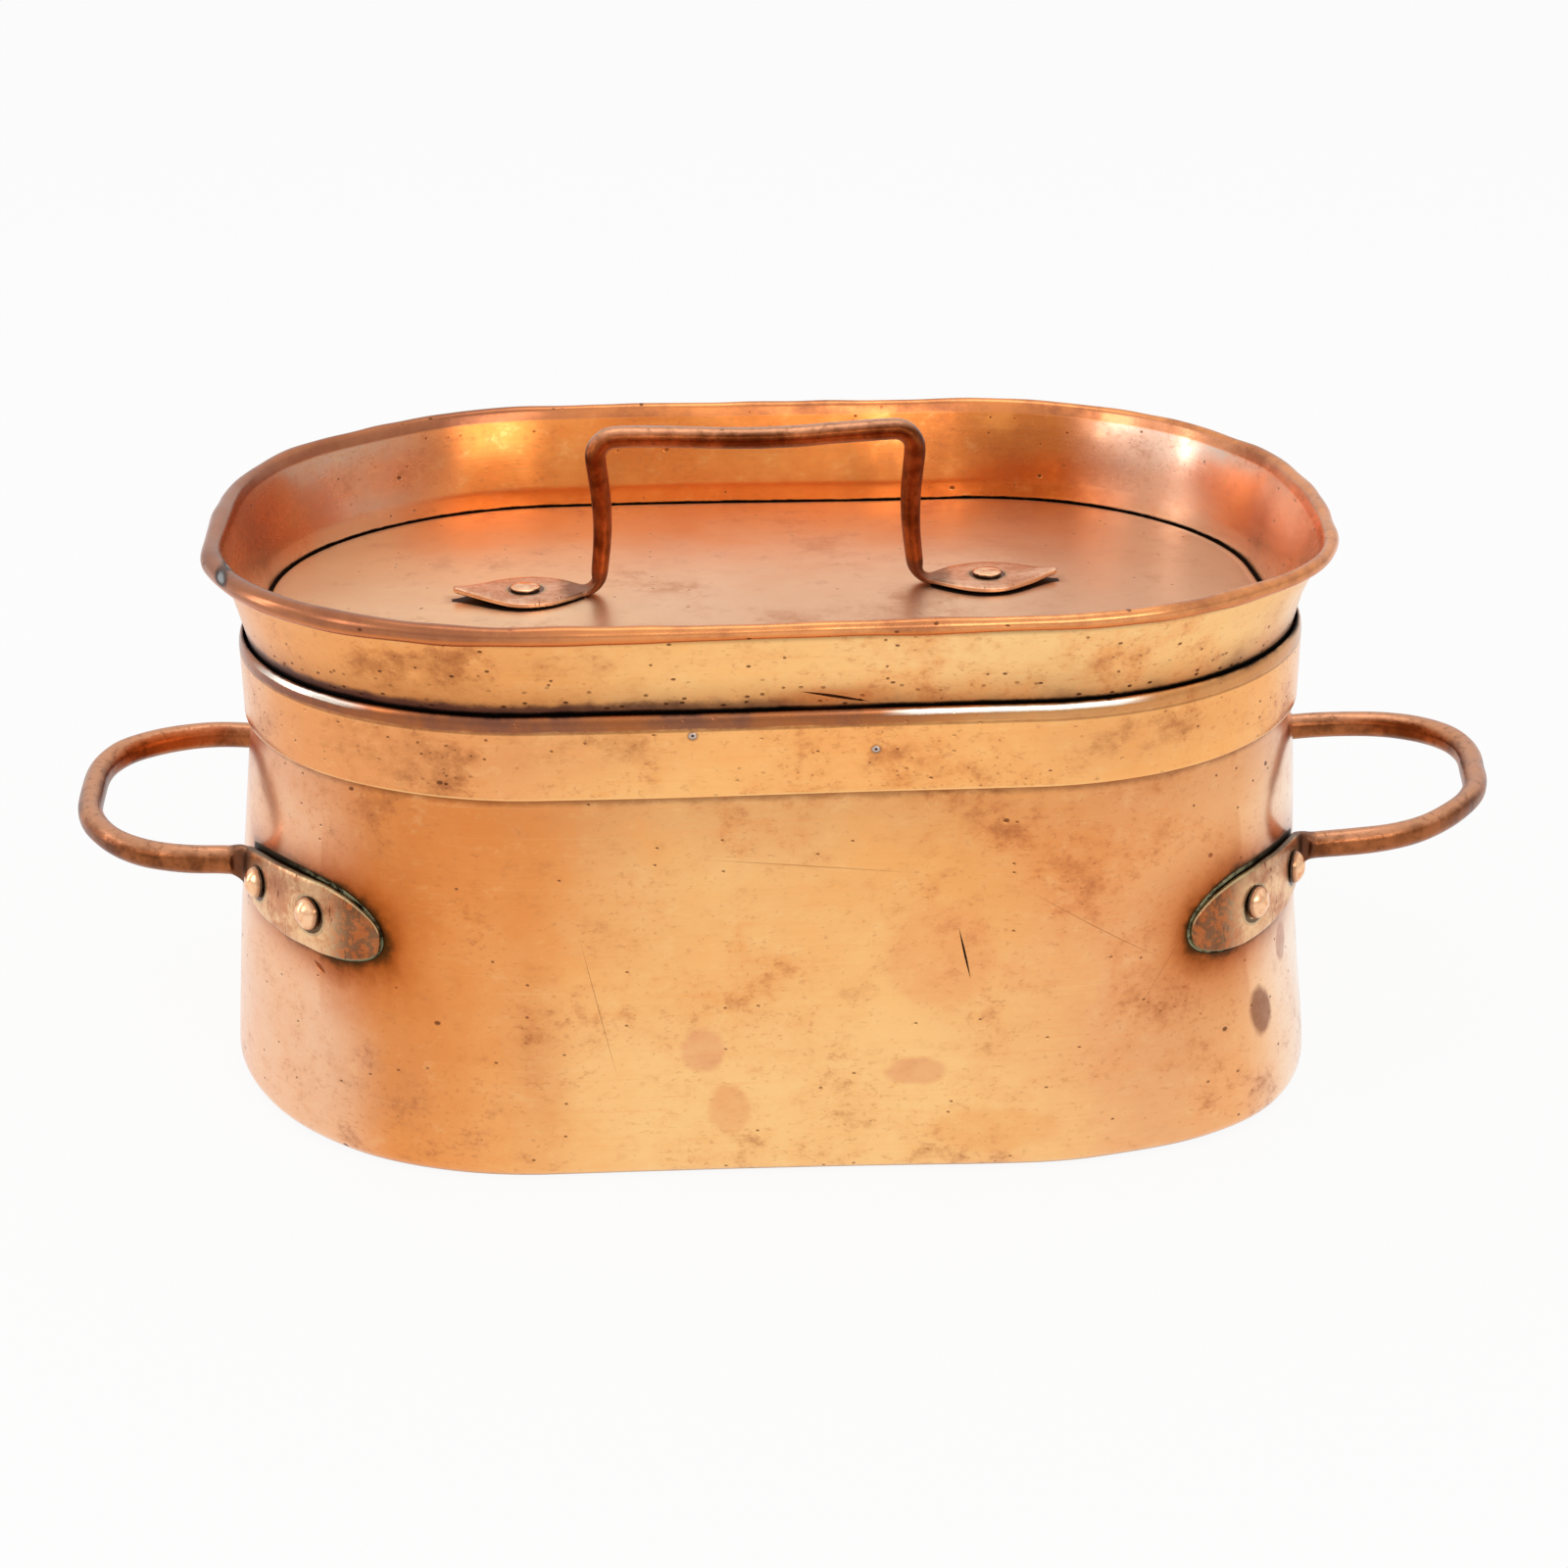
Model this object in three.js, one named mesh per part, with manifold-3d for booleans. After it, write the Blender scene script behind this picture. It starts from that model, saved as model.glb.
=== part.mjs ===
// An old copper braising pot with a lid that carries a coal tray, in millimetres.
// Origin: middle of the flat bottom. +X along the pot, -Y to the front, +Z up.
import * as THREE from 'three';
import * as BufferGeometryUtils from 'three/addons/utils/BufferGeometryUtils.js';
import Module from 'manifold-3d';

const wasm = await Module();
wasm.setup();

// Clearances between pieces that touch on the real pot
const touchGap = 0.3;
const clinchGap = 0.7;
const lidPlay = 0.6;

// Pot: a plain neck above a body that spreads towards the bottom edge
const neckLength = 339;
const neckWidth = 238;
const neckCornerRadius = 96;
const neckDepth = 20;
const potHeight = 141;
const potSheet = 2;
const bottomSpread = 12;
const spreadPower = 1.15;
const bottomEdgeRadius = 6;
const bottomLip = 4;

// Lid: a skirt with a folded shoulder, a flared tray wall rolled over a wire, a flat panel
const skirtDepth = 18;
const skirtSheet = 1.2;
const seatWidth = 7.5;
const shoulderRise = 7;
const shoulderHeight = 4.4;
const trayWallInset = 0.9;
const trayWallSheet = 1;
const trayWallHeight = 27.5;
const trayWallFlare = 9;
const wireRadius = 1.1;
const rollSweep = 285;
const panelSheet = 1.2;

// End handles: a forged loop whose two ends are beaten out into straps
const loopLegSpacing = 109;
const loopCornerRadius = 42;
const loopBarThickness = 8;
const loopBarWidth = 9;
const loopBendRadius = 7;
const rightLoopReach = 68;
const leftLoopReach = 53.5;
const rightLoopHeight = 72.5;
const leftLoopHeight = 77.5;
const strapThickness = 2.8;
const strapWidth = 22.5;
const strapRootWidth = 15;
const strapTipWidth = 4;
const strapLength = 71.5;
const strapWidestFromBend = 46;
const rootRivetFromBend = 12;
const tipRivetFromBend = 43.5;

// Lid handle: a square grip on two legs with leaf-shaped feet
const gripLegSpacing = 106;
const gripHeight = 54;
const gripSag = 2;
const gripBarThickness = 7;
const gripBarWidth = 8;
const gripCornerRadius = 7;
const footBendRadius = 6;
const footLength = 49;
const footWidth = 29;
const footThickness = 2.2;
const footTipWidth = 2.5;
const footRivetFromTip = 24;
const gripShiftX = -3;
const gripShiftY = 13;
const gripTurn = 2.5;

// Rivets
const shankRadius = 2.5;
const strapHeadRadius = 4.8;
const strapHeadHeight = 3.4;
const footHeadRadius = 5;
const footHeadHeight = 1.6;
const clinchRadius = 4.4;
const clinchHeight = 1.3;

// Heights, offsets and places that follow from the sizes above
const cornerX = neckLength / 2 - neckCornerRadius;
const cornerY = neckWidth / 2 - neckCornerRadius;
const neckFoot = potHeight - neckDepth;
const seatUnder = potHeight + touchGap;
const seatTop = seatUnder + skirtSheet;
const trayFoot = seatTop + touchGap;
const panelTop = trayFoot + panelSheet;
const shoulderTop = seatTop + shoulderRise;
const skirtOuter = lidPlay + skirtSheet;
const trayWallInner = -trayWallInset - trayWallSheet;
const rollInner = wireRadius + touchGap;
const rollOuter = rollInner + trayWallSheet;
const rollOffset = trayWallFlare - trayWallInset;
const rollHeight = shoulderTop + trayWallHeight;
const holeRadius = shankRadius + touchGap;
const baseEdge = bottomSpread - bottomEdgeRadius - bottomLip;
const strapHeadSeat = touchGap + strapThickness + touchGap;
const footHeadSeat = touchGap + footThickness + touchGap;
const footRivetX = gripLegSpacing / 2 + footLength - footRivetFromTip;

// Number of flat steps in each curve
const cornerSteps = 10;
const rivetSides = 12;
const rollSteps = 8;

const { degToRad, lerp, radToDeg } = THREE.MathUtils;
const upward = new THREE.Vector3(0, 0, 1);

function metal(colour, roughness) {
  return new THREE.MeshStandardMaterial({ color: colour, roughness: roughness, metalness: 1 });
}

const bodyCopper = '#d98d58';
const lidCopper = '#d58a5a';
const forgedCopper = '#8a4d31';
const rivetCopper = '#dd9464';
const wireIron = '#7d756f';

function polar(radius, degrees) {
  const angle = degToRad(degrees);
  return new THREE.Vector2(radius * Math.cos(angle), radius * Math.sin(angle));
}

// The neck's plan, a rectangle with round corners, moved outwards by an offset
function plan(offset) {
  const points = [];
  const corners = [[1, 1, 0], [-1, 1, 90], [-1, -1, 180], [1, -1, 270]];
  for (const [sideX, sideY, start] of corners) {
    for (let step = 0; step <= cornerSteps; step += 1) {
      const round = polar(neckCornerRadius + offset, start + 90 * step / cornerSteps);
      points.push(new THREE.Vector2(sideX * cornerX + round.x, sideY * cornerY + round.y));
    }
  }
  return points;
}

function meshData(positions, index) {
  const geometry = new THREE.BufferGeometry();
  geometry.setAttribute('position', new THREE.Float32BufferAttribute(positions, 3));
  geometry.setIndex(index);
  geometry.computeVertexNormals();
  return geometry;
}

// A closed section, listed anticlockwise as [outward offset, height], carried round the plan
function sweepRound(section) {
  const rows = section.map(([offset, height]) => plan(offset).map((p) => [p.x, p.y, height]));
  const around = rows[0].length;
  const count = rows.length;
  const positions = [];
  const index = [];
  for (let i = 0; i < around; i += 1) {
    const here = i * count;
    const next = ((i + 1) % around) * count;
    for (let j = 0; j < count; j += 1) {
      const up = (j + 1) % count;
      positions.push(...rows[j][i]);
      index.push(here + j, next + j, next + up, here + j, next + up, here + up);
    }
  }
  return meshData(positions, index);
}

// A bar through a list of rings with as many points each, closed at both ends
function loft(rings) {
  const sides = rings[0].length;
  const positions = rings.flat().flatMap((p) => [p.x, p.y, p.z]);
  const index = [];
  for (let i = 0; i < rings.length - 1; i += 1) {
    for (let j = 0; j < sides; j += 1) {
      const a = i * sides + j;
      const b = i * sides + (j + 1) % sides;
      index.push(a, b, b + sides, a, b + sides, a + sides);
    }
  }
  const last = (rings.length - 1) * sides;
  for (let j = 1; j < sides - 1; j += 1) {
    index.push(0, j + 1, j);
    index.push(last, last + j, last + j + 1);
  }
  return meshData(positions, index);
}

// The eight corners of a flat bar round a point: width runs across, thickness along facing
function barRing(middle, across, facing, width, thickness) {
  const cut = 0.3 * Math.min(width, thickness);
  const w = width / 2;
  const t = thickness / 2;
  const corners = [[w, -t + cut], [w, t - cut], [w - cut, t], [-w + cut, t],
    [-w, t - cut], [-w, -t + cut], [-w + cut, -t], [w - cut, -t]];
  return corners.map(([u, v]) => middle.clone().addScaledVector(across, u).addScaledVector(facing, v));
}

function solidOf(geometry) {
  const bare = geometry.clone();
  bare.deleteAttribute('normal');
  bare.deleteAttribute('uv');
  const merged = BufferGeometryUtils.mergeVertices(bare);
  return new wasm.Manifold(new wasm.Mesh({
    numProp: 3,
    vertProperties: new Float32Array(merged.attributes.position.array),
    triVerts: new Uint32Array(merged.index.array),
  }));
}

function drill(geometry, bits) {
  const drilled = bits.reduce((solid, bit) => solid.subtract(solidOf(bit)), solidOf(geometry));
  const mesh = drilled.getMesh();
  return meshData(Array.from(mesh.vertProperties), Array.from(mesh.triVerts));
}

// How far the pot's outer face stands outside the neck at a height
function spreadAt(height) {
  const depth = (neckFoot - height) / (neckFoot - bottomEdgeRadius);
  const share = Math.min(Math.max(depth, 0), 1);
  return bottomSpread * (1 - (1 - share) ** spreadPower);
}

// How much further out the face stands for each millimetre down
function leanAt(height) {
  return (spreadAt(height - 1) - spreadAt(height + 1)) / 2;
}

// The right-hand loop is built as it lies; the left one is turned round with its own sizes
const loops = [
  { side: 'right', reach: rightLoopReach, height: rightLoopHeight, turn: 0 },
  { side: 'left', reach: leftLoopReach, height: leftLoopHeight, turn: Math.PI },
];

// How a loop's strap lies round the pot's corner; lengths along it start at the loop's bend
function strapLie(loop) {
  const radius = neckCornerRadius + spreadAt(loop.height) + touchGap + strapThickness / 2;
  const bendSide = loopLegSpacing / 2 - cornerY + loopBendRadius;
  const bendAngle = Math.asin(bendSide / (radius + loopBendRadius));
  return { radius: radius, angleAt: (length) => radToDeg(bendAngle + length / radius) };
}

// Where the four rivets of a loop cross the pot's outer face, and which way they point
function strapRivets(loop) {
  const strap = strapLie(loop);
  const radius = neckCornerRadius + spreadAt(loop.height);
  const spots = [];
  for (const end of [-1, 1]) {
    for (const [place, fromBend] of [['root', rootRivetFromBend], ['tip', tipRivetFromBend]]) {
      const round = polar(1, strap.angleAt(fromBend));
      const at = new THREE.Vector3(cornerX + radius * round.x, end * (cornerY + radius * round.y), loop.height);
      const axis = new THREE.Vector3(round.x, end * round.y, leanAt(loop.height)).normalize();
      const towardsFront = loop.turn === 0 ? end < 0 : end > 0;
      const name = `${loop.side}_${towardsFront ? 'front' : 'back'}_${place}_rivet`;
      spots.push({ name: name, at: at, axis: axis });
    }
  }
  return spots;
}

// A cylinder that opens a rivet hole through the sheet and what lies on it
function rivetBit(at, axis) {
  const bitLength = 24;
  const bit = new THREE.CylinderGeometry(holeRadius, holeRadius, bitLength, rivetSides);
  bit.applyQuaternion(new THREE.Quaternion().setFromUnitVectors(new THREE.Vector3(0, 1, 0), axis));
  return bit.translate(at.x, at.y, at.z);
}

function potWall() {
  const edgeSteps = 3;
  const bodySteps = 5;
  const edgeMiddle = bottomSpread - bottomEdgeRadius;
  const outer = [[baseEdge, 0]];
  const inner = [[baseEdge, potSheet]];
  for (let step = 0; step <= edgeSteps; step += 1) {
    const out = polar(bottomEdgeRadius, -90 + 90 * step / edgeSteps);
    const into = polar(bottomEdgeRadius - potSheet, -90 + 90 * step / edgeSteps);
    outer.push([edgeMiddle + out.x, bottomEdgeRadius + out.y]);
    inner.push([edgeMiddle + into.x, bottomEdgeRadius + into.y]);
  }
  for (let step = 1; step <= bodySteps; step += 1) {
    const height = lerp(bottomEdgeRadius, neckFoot, step / bodySteps);
    outer.push([spreadAt(height), height]);
    inner.push([spreadAt(height) - potSheet, height]);
  }
  outer.push([0, potHeight]);
  inner.push([-potSheet, potHeight]);
  const bits = [];
  for (const loop of loops) {
    for (const spot of strapRivets(loop)) bits.push(rivetBit(spot.at, spot.axis).rotateZ(loop.turn));
  }
  return drill(sweepRound([...outer, ...inner.reverse()]), bits);
}

function potBase() {
  const shape = new THREE.Shape(plan(baseEdge - touchGap));
  return new THREE.ExtrudeGeometry(shape, { depth: potSheet, bevelEnabled: false });
}

// The skirt slips over the neck; its shoulder grips the tray wall, its seat lies on the rim
function lidSkirt() {
  const shoulderSteps = 4;
  const hem = seatUnder - skirtDepth;
  const lip = touchGap - trayWallInset;
  const seatEdge = lidPlay - seatWidth;
  const section = [[lidPlay, hem], [skirtOuter, hem]];
  for (let step = 0; step <= shoulderSteps; step += 1) {
    const bend = polar(1, 90 * step / shoulderSteps);
    section.push([lerp(lip, skirtOuter, bend.x), shoulderTop - shoulderHeight * (1 - bend.y)]);
  }
  section.push([lip, seatTop], [seatEdge, seatTop], [seatEdge, seatUnder], [lidPlay, seatUnder]);
  return sweepRound(section);
}

// The tray wall stands in the shoulder, leans out and is rolled outwards round the wire
function trayWall() {
  const flareSteps = 4;
  const start = 180 - radToDeg(Math.atan2(trayWallFlare, trayWallHeight));
  const insideRoll = [];
  const outsideRoll = [];
  for (let step = 0; step <= rollSteps; step += 1) {
    const near = polar(rollInner, start - rollSweep * step / rollSteps);
    const far = polar(rollOuter, start - rollSweep * step / rollSteps);
    insideRoll.push([rollOffset + near.x, rollHeight + near.y]);
    outsideRoll.push([rollOffset + far.x, rollHeight + far.y]);
  }
  const outside = [[-trayWallInset, trayFoot]];
  const inside = [[trayWallInner, trayFoot]];
  for (let step = 0; step < flareSteps; step += 1) {
    const share = step / flareSteps;
    const out = (0.8 * share + 0.2 * share ** 2) * (insideRoll[0][0] + trayWallInset);
    const height = lerp(shoulderTop, insideRoll[0][1], share);
    outside.push([out - trayWallInset, height]);
    inside.push([out + trayWallInner, height]);
  }
  return sweepRound([...outside, ...insideRoll, ...outsideRoll.reverse(), ...inside.reverse()]);
}

function rimWire() {
  const wireSides = 8;
  const section = [];
  for (let side = 0; side < wireSides; side += 1) {
    const round = polar(wireRadius, 360 * side / wireSides);
    section.push([rollOffset + round.x, rollHeight + round.y]);
  }
  return sweepRound(section);
}

function lidPanel(handlePlace) {
  const shape = new THREE.Shape(plan(trayWallInner - touchGap));
  for (const side of [-1, 1]) {
    const hole = new THREE.Vector3(side * footRivetX, 0, 0).applyMatrix4(handlePlace);
    shape.holes.push(new THREE.Path().absarc(hole.x, hole.y, holeRadius, 0, 2 * Math.PI));
  }
  const settings = { depth: panelSheet, bevelEnabled: false, curveSegments: rivetSides };
  return new THREE.ExtrudeGeometry(shape, settings).translate(0, 0, trayFoot);
}

// Adds the mirror image of a list of stations after it, so a half becomes a whole bar
function withMirror(stations, mirror) {
  return [...stations, ...stations.slice(0, -1).reverse().map(mirror)];
}

// Front strap on the pot's corner, bend, leg, round corner and half of the cross bar
function endLoop(loop) {
  const strapSteps = 10;
  const bendSteps = 4;
  const cornerArcSteps = 6;
  const lean = leanAt(loop.height);
  const legY = loopLegSpacing / 2;
  const strap = strapLie(loop);
  const rootAngle = strap.angleAt(0);
  const stations = [];
  const station = (x, y, facing, width, thickness, tilt) => {
    stations.push({ at: new THREE.Vector3(x, y, loop.height), facing: polar(1, facing), width, thickness, tilt });
  };
  for (let step = 0; step <= strapSteps; step += 1) {
    const fromBend = strapLength * (1 - (step / strapSteps) ** 1.2);
    const angle = strap.angleAt(fromBend);
    const round = polar(strap.radius, -angle);
    const toTip = Math.max(0, (fromBend - strapWidestFromBend) / (strapLength - strapWidestFromBend));
    const toRoot = Math.max(0, 1 - fromBend / strapWidestFromBend);
    const beaten = lerp(strapTipWidth, strapWidth, (1 - toTip ** 2) ** 0.7);
    const width = lerp(beaten, strapRootWidth, toRoot ** 3);
    station(cornerX + round.x, round.y - cornerY, -angle, width, strapThickness, lean);
  }
  const bendMiddle = polar(strap.radius + loopBendRadius, -rootAngle);
  for (let step = 1; step <= bendSteps; step += 1) {
    const share = step / bendSteps;
    const turned = lerp(180 - rootAngle, 90, share);
    const round = polar(loopBendRadius, turned);
    const width = lerp(strapRootWidth, loopBarWidth, share);
    const thickness = lerp(strapThickness, loopBarThickness, share ** 2);
    const middle = [cornerX + bendMiddle.x + round.x, bendMiddle.y - cornerY + round.y];
    station(middle[0], middle[1], turned - 180, width, thickness, lean * (1 - share));
  }
  const outermost = neckLength / 2 + spreadAt(loop.height) + loop.reach;
  for (let step = 0; step <= cornerArcSteps; step += 1) {
    const turned = -90 + 90 * step / cornerArcSteps;
    const round = polar(loopCornerRadius, turned);
    const middle = [outermost - loopCornerRadius + round.x, loopCornerRadius - legY + round.y];
    station(middle[0], middle[1], turned, loopBarWidth, loopBarThickness, 0);
  }
  station(outermost, 0, 0, loopBarWidth, loopBarThickness, 0);
  const whole = withMirror(stations, (s) => ({
    ...s,
    at: new THREE.Vector3(s.at.x, -s.at.y, s.at.z),
    facing: new THREE.Vector2(s.facing.x, -s.facing.y),
  }));
  const rings = whole.map((s) => {
    const facing = new THREE.Vector3(s.facing.x, s.facing.y, 0);
    const across = upward.clone().addScaledVector(facing, -s.tilt);
    return barRing(s.at, across, facing, s.width, s.thickness);
  });
  return drill(loft(rings), strapRivets(loop).map((spot) => rivetBit(spot.at, spot.axis)));
}

// Right foot from its tip, bend, leg, corner and half of the grip, in the plane y = 0
function lidHandle() {
  const footSteps = 10;
  const bendSteps = 4;
  const gripSteps = 4;
  const legX = gripLegSpacing / 2;
  const footMiddle = panelTop + touchGap + footThickness / 2;
  const gripMiddle = panelTop + gripHeight;
  const flatLength = footLength - footBendRadius;
  const stations = [];
  const station = (x, z, facing, width, thickness) => {
    stations.push({ at: new THREE.Vector3(x, 0, z), facing: polar(1, facing), width, thickness });
  };
  for (let step = 0; step <= footSteps; step += 1) {
    const fromTip = flatLength * step / footSteps;
    const toTip = Math.max(0, 1 - fromTip / footRivetFromTip);
    const toLeg = Math.max(0, (fromTip - footRivetFromTip) / (flatLength - footRivetFromTip));
    const leaf = lerp(footTipWidth, footWidth, Math.cos(Math.PI / 2 * toTip) ** 1.4);
    const width = lerp(leaf, gripBarWidth, toLeg ** 2);
    station(legX + footLength - fromTip, footMiddle, 90, width, footThickness);
  }
  for (let step = 1; step <= bendSteps; step += 1) {
    const share = step / bendSteps;
    const round = polar(footBendRadius, lerp(-90, -180, share));
    const thickness = lerp(footThickness, gripBarThickness, share ** 2);
    const middle = [legX + footBendRadius + round.x, footMiddle + footBendRadius + round.y];
    station(middle[0], middle[1], lerp(90, 0, share), gripBarWidth, thickness);
  }
  for (let step = 0; step <= bendSteps; step += 1) {
    const turned = 90 * step / bendSteps;
    const round = polar(gripCornerRadius, turned);
    const middle = [legX - gripCornerRadius + round.x, gripMiddle - gripCornerRadius + round.y];
    station(middle[0], middle[1], turned, gripBarWidth, gripBarThickness);
  }
  for (let step = 1; step <= gripSteps; step += 1) {
    const share = step / gripSteps;
    const sag = gripSag * Math.sin(Math.PI / 2 * share) ** 2;
    station((legX - gripCornerRadius) * (1 - share), gripMiddle - sag, 90, gripBarWidth, gripBarThickness);
  }
  const whole = withMirror(stations, (s) => ({
    ...s,
    at: new THREE.Vector3(-s.at.x, 0, s.at.z),
    facing: new THREE.Vector2(-s.facing.x, s.facing.y),
  }));
  const across = new THREE.Vector3(0, -1, 0);
  const rings = whole.map((s) => {
    const facing = new THREE.Vector3(s.facing.x, 0, s.facing.y);
    return barRing(s.at, across, facing, s.width, s.thickness);
  });
  const bits = [-1, 1].map((side) => rivetBit(new THREE.Vector3(side * footRivetX, 0, panelTop), upward));
  return drill(loft(rings), bits);
}

// A rivet along +Y; zero is the outer face of the sheet that it goes through
function rivet(clinchSeat, headSeat, headRadius, headHeight, roundness) {
  const headSteps = 4;
  const profile = [
    [0, clinchSeat - clinchHeight],
    [0.8 * clinchRadius, clinchSeat - clinchHeight],
    [clinchRadius, clinchSeat],
    [shankRadius, clinchSeat],
    [shankRadius, headSeat],
  ];
  for (let step = 0; step <= headSteps; step += 1) {
    const dome = polar(1, 90 * step / headSteps);
    const wide = step === headSteps ? 0 : headRadius * dome.x ** roundness;
    profile.push([wide, headSeat + headHeight * dome.y ** roundness]);
  }
  return new THREE.LatheGeometry(profile.map(([r, y]) => new THREE.Vector2(r, y)), rivetSides);
}

function named(name, geometry, material) {
  const mesh = new THREE.Mesh(geometry, material);
  mesh.name = name;
  return mesh;
}

const pot = new THREE.Group();
pot.add(named('pot_wall', potWall(), metal(bodyCopper, 0.35)));
pot.add(named('pot_base', potBase(), metal(bodyCopper, 0.4)));

for (const loop of loops) {
  const place = new THREE.Group();
  place.rotation.z = loop.turn;
  place.add(named(`${loop.side}_handle`, endLoop(loop), metal(forgedCopper, 0.45)));
  for (const spot of strapRivets(loop)) {
    const shape = rivet(-potSheet - clinchGap, strapHeadSeat, strapHeadRadius, strapHeadHeight, 1);
    const mesh = named(spot.name, shape, metal(rivetCopper, 0.3));
    mesh.position.copy(spot.at);
    mesh.quaternion.setFromUnitVectors(new THREE.Vector3(0, 1, 0), spot.axis);
    place.add(mesh);
  }
  pot.add(place);
}

const lid = new THREE.Group();
const handlePlace = new THREE.Group();
handlePlace.position.set(gripShiftX, gripShiftY, 0);
handlePlace.rotation.z = degToRad(gripTurn);
handlePlace.updateMatrix();
lid.add(named('lid_skirt', lidSkirt(), metal(lidCopper, 0.35)));
lid.add(named('lid_tray_wall', trayWall(), metal(lidCopper, 0.35)));
lid.add(named('lid_rim_wire', rimWire(), metal(wireIron, 0.6)));
lid.add(named('lid_panel', lidPanel(handlePlace.matrix), metal(lidCopper, 0.4)));
handlePlace.add(named('lid_handle', lidHandle(), metal(forgedCopper, 0.4)));
for (const [side, name] of [[-1, 'lid_handle_left_rivet'], [1, 'lid_handle_right_rivet']]) {
  const shape = rivet(-panelSheet - touchGap, footHeadSeat, footHeadRadius, footHeadHeight, 0.5);
  const mesh = named(name, shape, metal(rivetCopper, 0.3));
  mesh.position.set(side * footRivetX, 0, panelTop);
  mesh.rotation.x = Math.PI / 2;
  handlePlace.add(mesh);
}
lid.add(handlePlace);

const braisingPot = new THREE.Group();
braisingPot.add(pot, lid);

export default braisingPot;
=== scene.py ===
"""An old copper braising pot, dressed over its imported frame.

Sizes are in millimetres until a piece is finished, which brings it to metres.
"""

import math

import bmesh
import bpy
from mathutils import Matrix, Vector, noise


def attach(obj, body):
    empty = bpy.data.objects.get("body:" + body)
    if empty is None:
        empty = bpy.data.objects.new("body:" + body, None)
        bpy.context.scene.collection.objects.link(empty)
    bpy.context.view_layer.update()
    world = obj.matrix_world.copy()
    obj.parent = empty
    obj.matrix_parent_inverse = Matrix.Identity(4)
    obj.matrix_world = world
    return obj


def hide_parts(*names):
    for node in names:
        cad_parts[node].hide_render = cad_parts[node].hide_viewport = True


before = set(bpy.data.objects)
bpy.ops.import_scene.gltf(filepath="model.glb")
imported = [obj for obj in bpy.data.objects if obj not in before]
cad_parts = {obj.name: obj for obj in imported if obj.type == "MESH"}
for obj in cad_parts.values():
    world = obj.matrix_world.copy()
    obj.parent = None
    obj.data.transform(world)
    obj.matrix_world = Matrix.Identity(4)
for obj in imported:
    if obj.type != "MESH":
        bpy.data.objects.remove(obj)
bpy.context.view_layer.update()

# Without a seed, the hammer's noise would start from the clock and no two runs would be the same
HAMMER_SEED = 5
noise.seed_set(HAMMER_SEED)

MM = 0.001
JOINT_GAP = 0.3

# The pot's plan and heights
NECK_LENGTH = 339
NECK_WIDTH = 238
NECK_RADIUS = 96
CORNER_X = NECK_LENGTH / 2 - NECK_RADIUS
CORNER_Y = NECK_WIDTH / 2 - NECK_RADIUS
POT_HEIGHT = 141
NECK_DEPTH = 20
NECK_FOOT = POT_HEIGHT - NECK_DEPTH
POT_SHEET = 2
BOTTOM_SPREAD = 12
SPREAD_POWER = 1.15
EDGE_RADIUS = 6
LIP_WIDTH = 4
RIM_DROP = 0.6
BASE_EDGE = BOTTOM_SPREAD - EDGE_RADIUS - LIP_WIDTH

# The lid
LID_PLAY = 0.6
LID_SHEET = 1.2
SEAT_UNDER = POT_HEIGHT + JOINT_GAP
SEAT_TOP = SEAT_UNDER + LID_SHEET
SEAT_WIDTH = 7.5
SKIRT_DEPTH = 18
SHOULDER_TOP = SEAT_TOP + 7
SHOULDER_HEIGHT = 4.4
TRAY_INSET = 0.9
TRAY_SHEET = 1
TRAY_FOOT = SEAT_TOP + JOINT_GAP
TRAY_FLARE = 9
TRAY_HEIGHT = 27.5
WIRE_RADIUS = 1.1
ROLL_INNER = WIRE_RADIUS + JOINT_GAP
ROLL_OUTER = ROLL_INNER + TRAY_SHEET
ROLL_OFFSET = TRAY_FLARE - TRAY_INSET
ROLL_HEIGHT = SHOULDER_TOP + TRAY_HEIGHT
ROLL_SWEEP = 285
PANEL_TOP = TRAY_FOOT + LID_SHEET
PANEL_EDGE = -TRAY_INSET - TRAY_SHEET - 1.1
SKIRT_HEM = SEAT_UNDER - SKIRT_DEPTH

# The end loops and their straps
LEG_Y = 109 / 2
LOOP_CORNER = 46
LOOP_BEND = 7
BAR_THICK = 8
BAR_WIDE = 9
STRAP_THICK = 2.8
STRAP_WIDE = 22.5
STRAP_ROOT_WIDE = 15
STRAP_TIP_WIDE = 4
STRAP_TIP_THIN = 0.55
STRAP_LENGTH = 71.5
STRAP_WIDEST = 46
STRAP_DROOP = 3
STRAP_LEVEL = 30
# A strap's rivets: how far each is from the bend, and their heads' radius, height and roundness
STRAP_RIVETS = {"root": 12, "tip": 43.5}
STRAP_RIVET_HEAD = (5.4, 3.6, 1.15)
# Each loop: its reach from the wall, its height and its turn about the pot
LOOPS = {"right": (68, 72.5, 0), "left": (53.5, 77.5, math.pi)}
# How use has bent each loop: outwards, askew, up at its end and that rise's power, and twisted
LOOP_BENDS = {"right": (1.0, 0.17, 3.9, 0.93, 0.0), "left": (0.2, 0.068, 3.8, 0.4, 0.046)}

# The lid's grip
GRIP_LEG_X = 106 / 2
GRIP_HEIGHT = 54
GRIP_SAG = 2
GRIP_THICK = 7
GRIP_WIDE = 8
GRIP_CORNER = 7
FOOT_BEND = 6
FOOT_LENGTH = 49
FOOT_WIDE = 29
FOOT_THICK = 2.2
FOOT_TIP_WIDE = 2.5
FOOT_LIFT = 2.0
FOOT_RIVET = 24
FOOT_RIVET_HEAD = (5, 1.2, 0.5)
LEG_TAPER = 0.82
LEG_BOW = 1.6
GRIP_PLACE = Matrix.Translation((-3, 13, 0)) @ Matrix.Rotation(math.radians(2.5), 4, "Z")

# Fineness of the swept sheets
STEP_ALONG = 3.2

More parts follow.
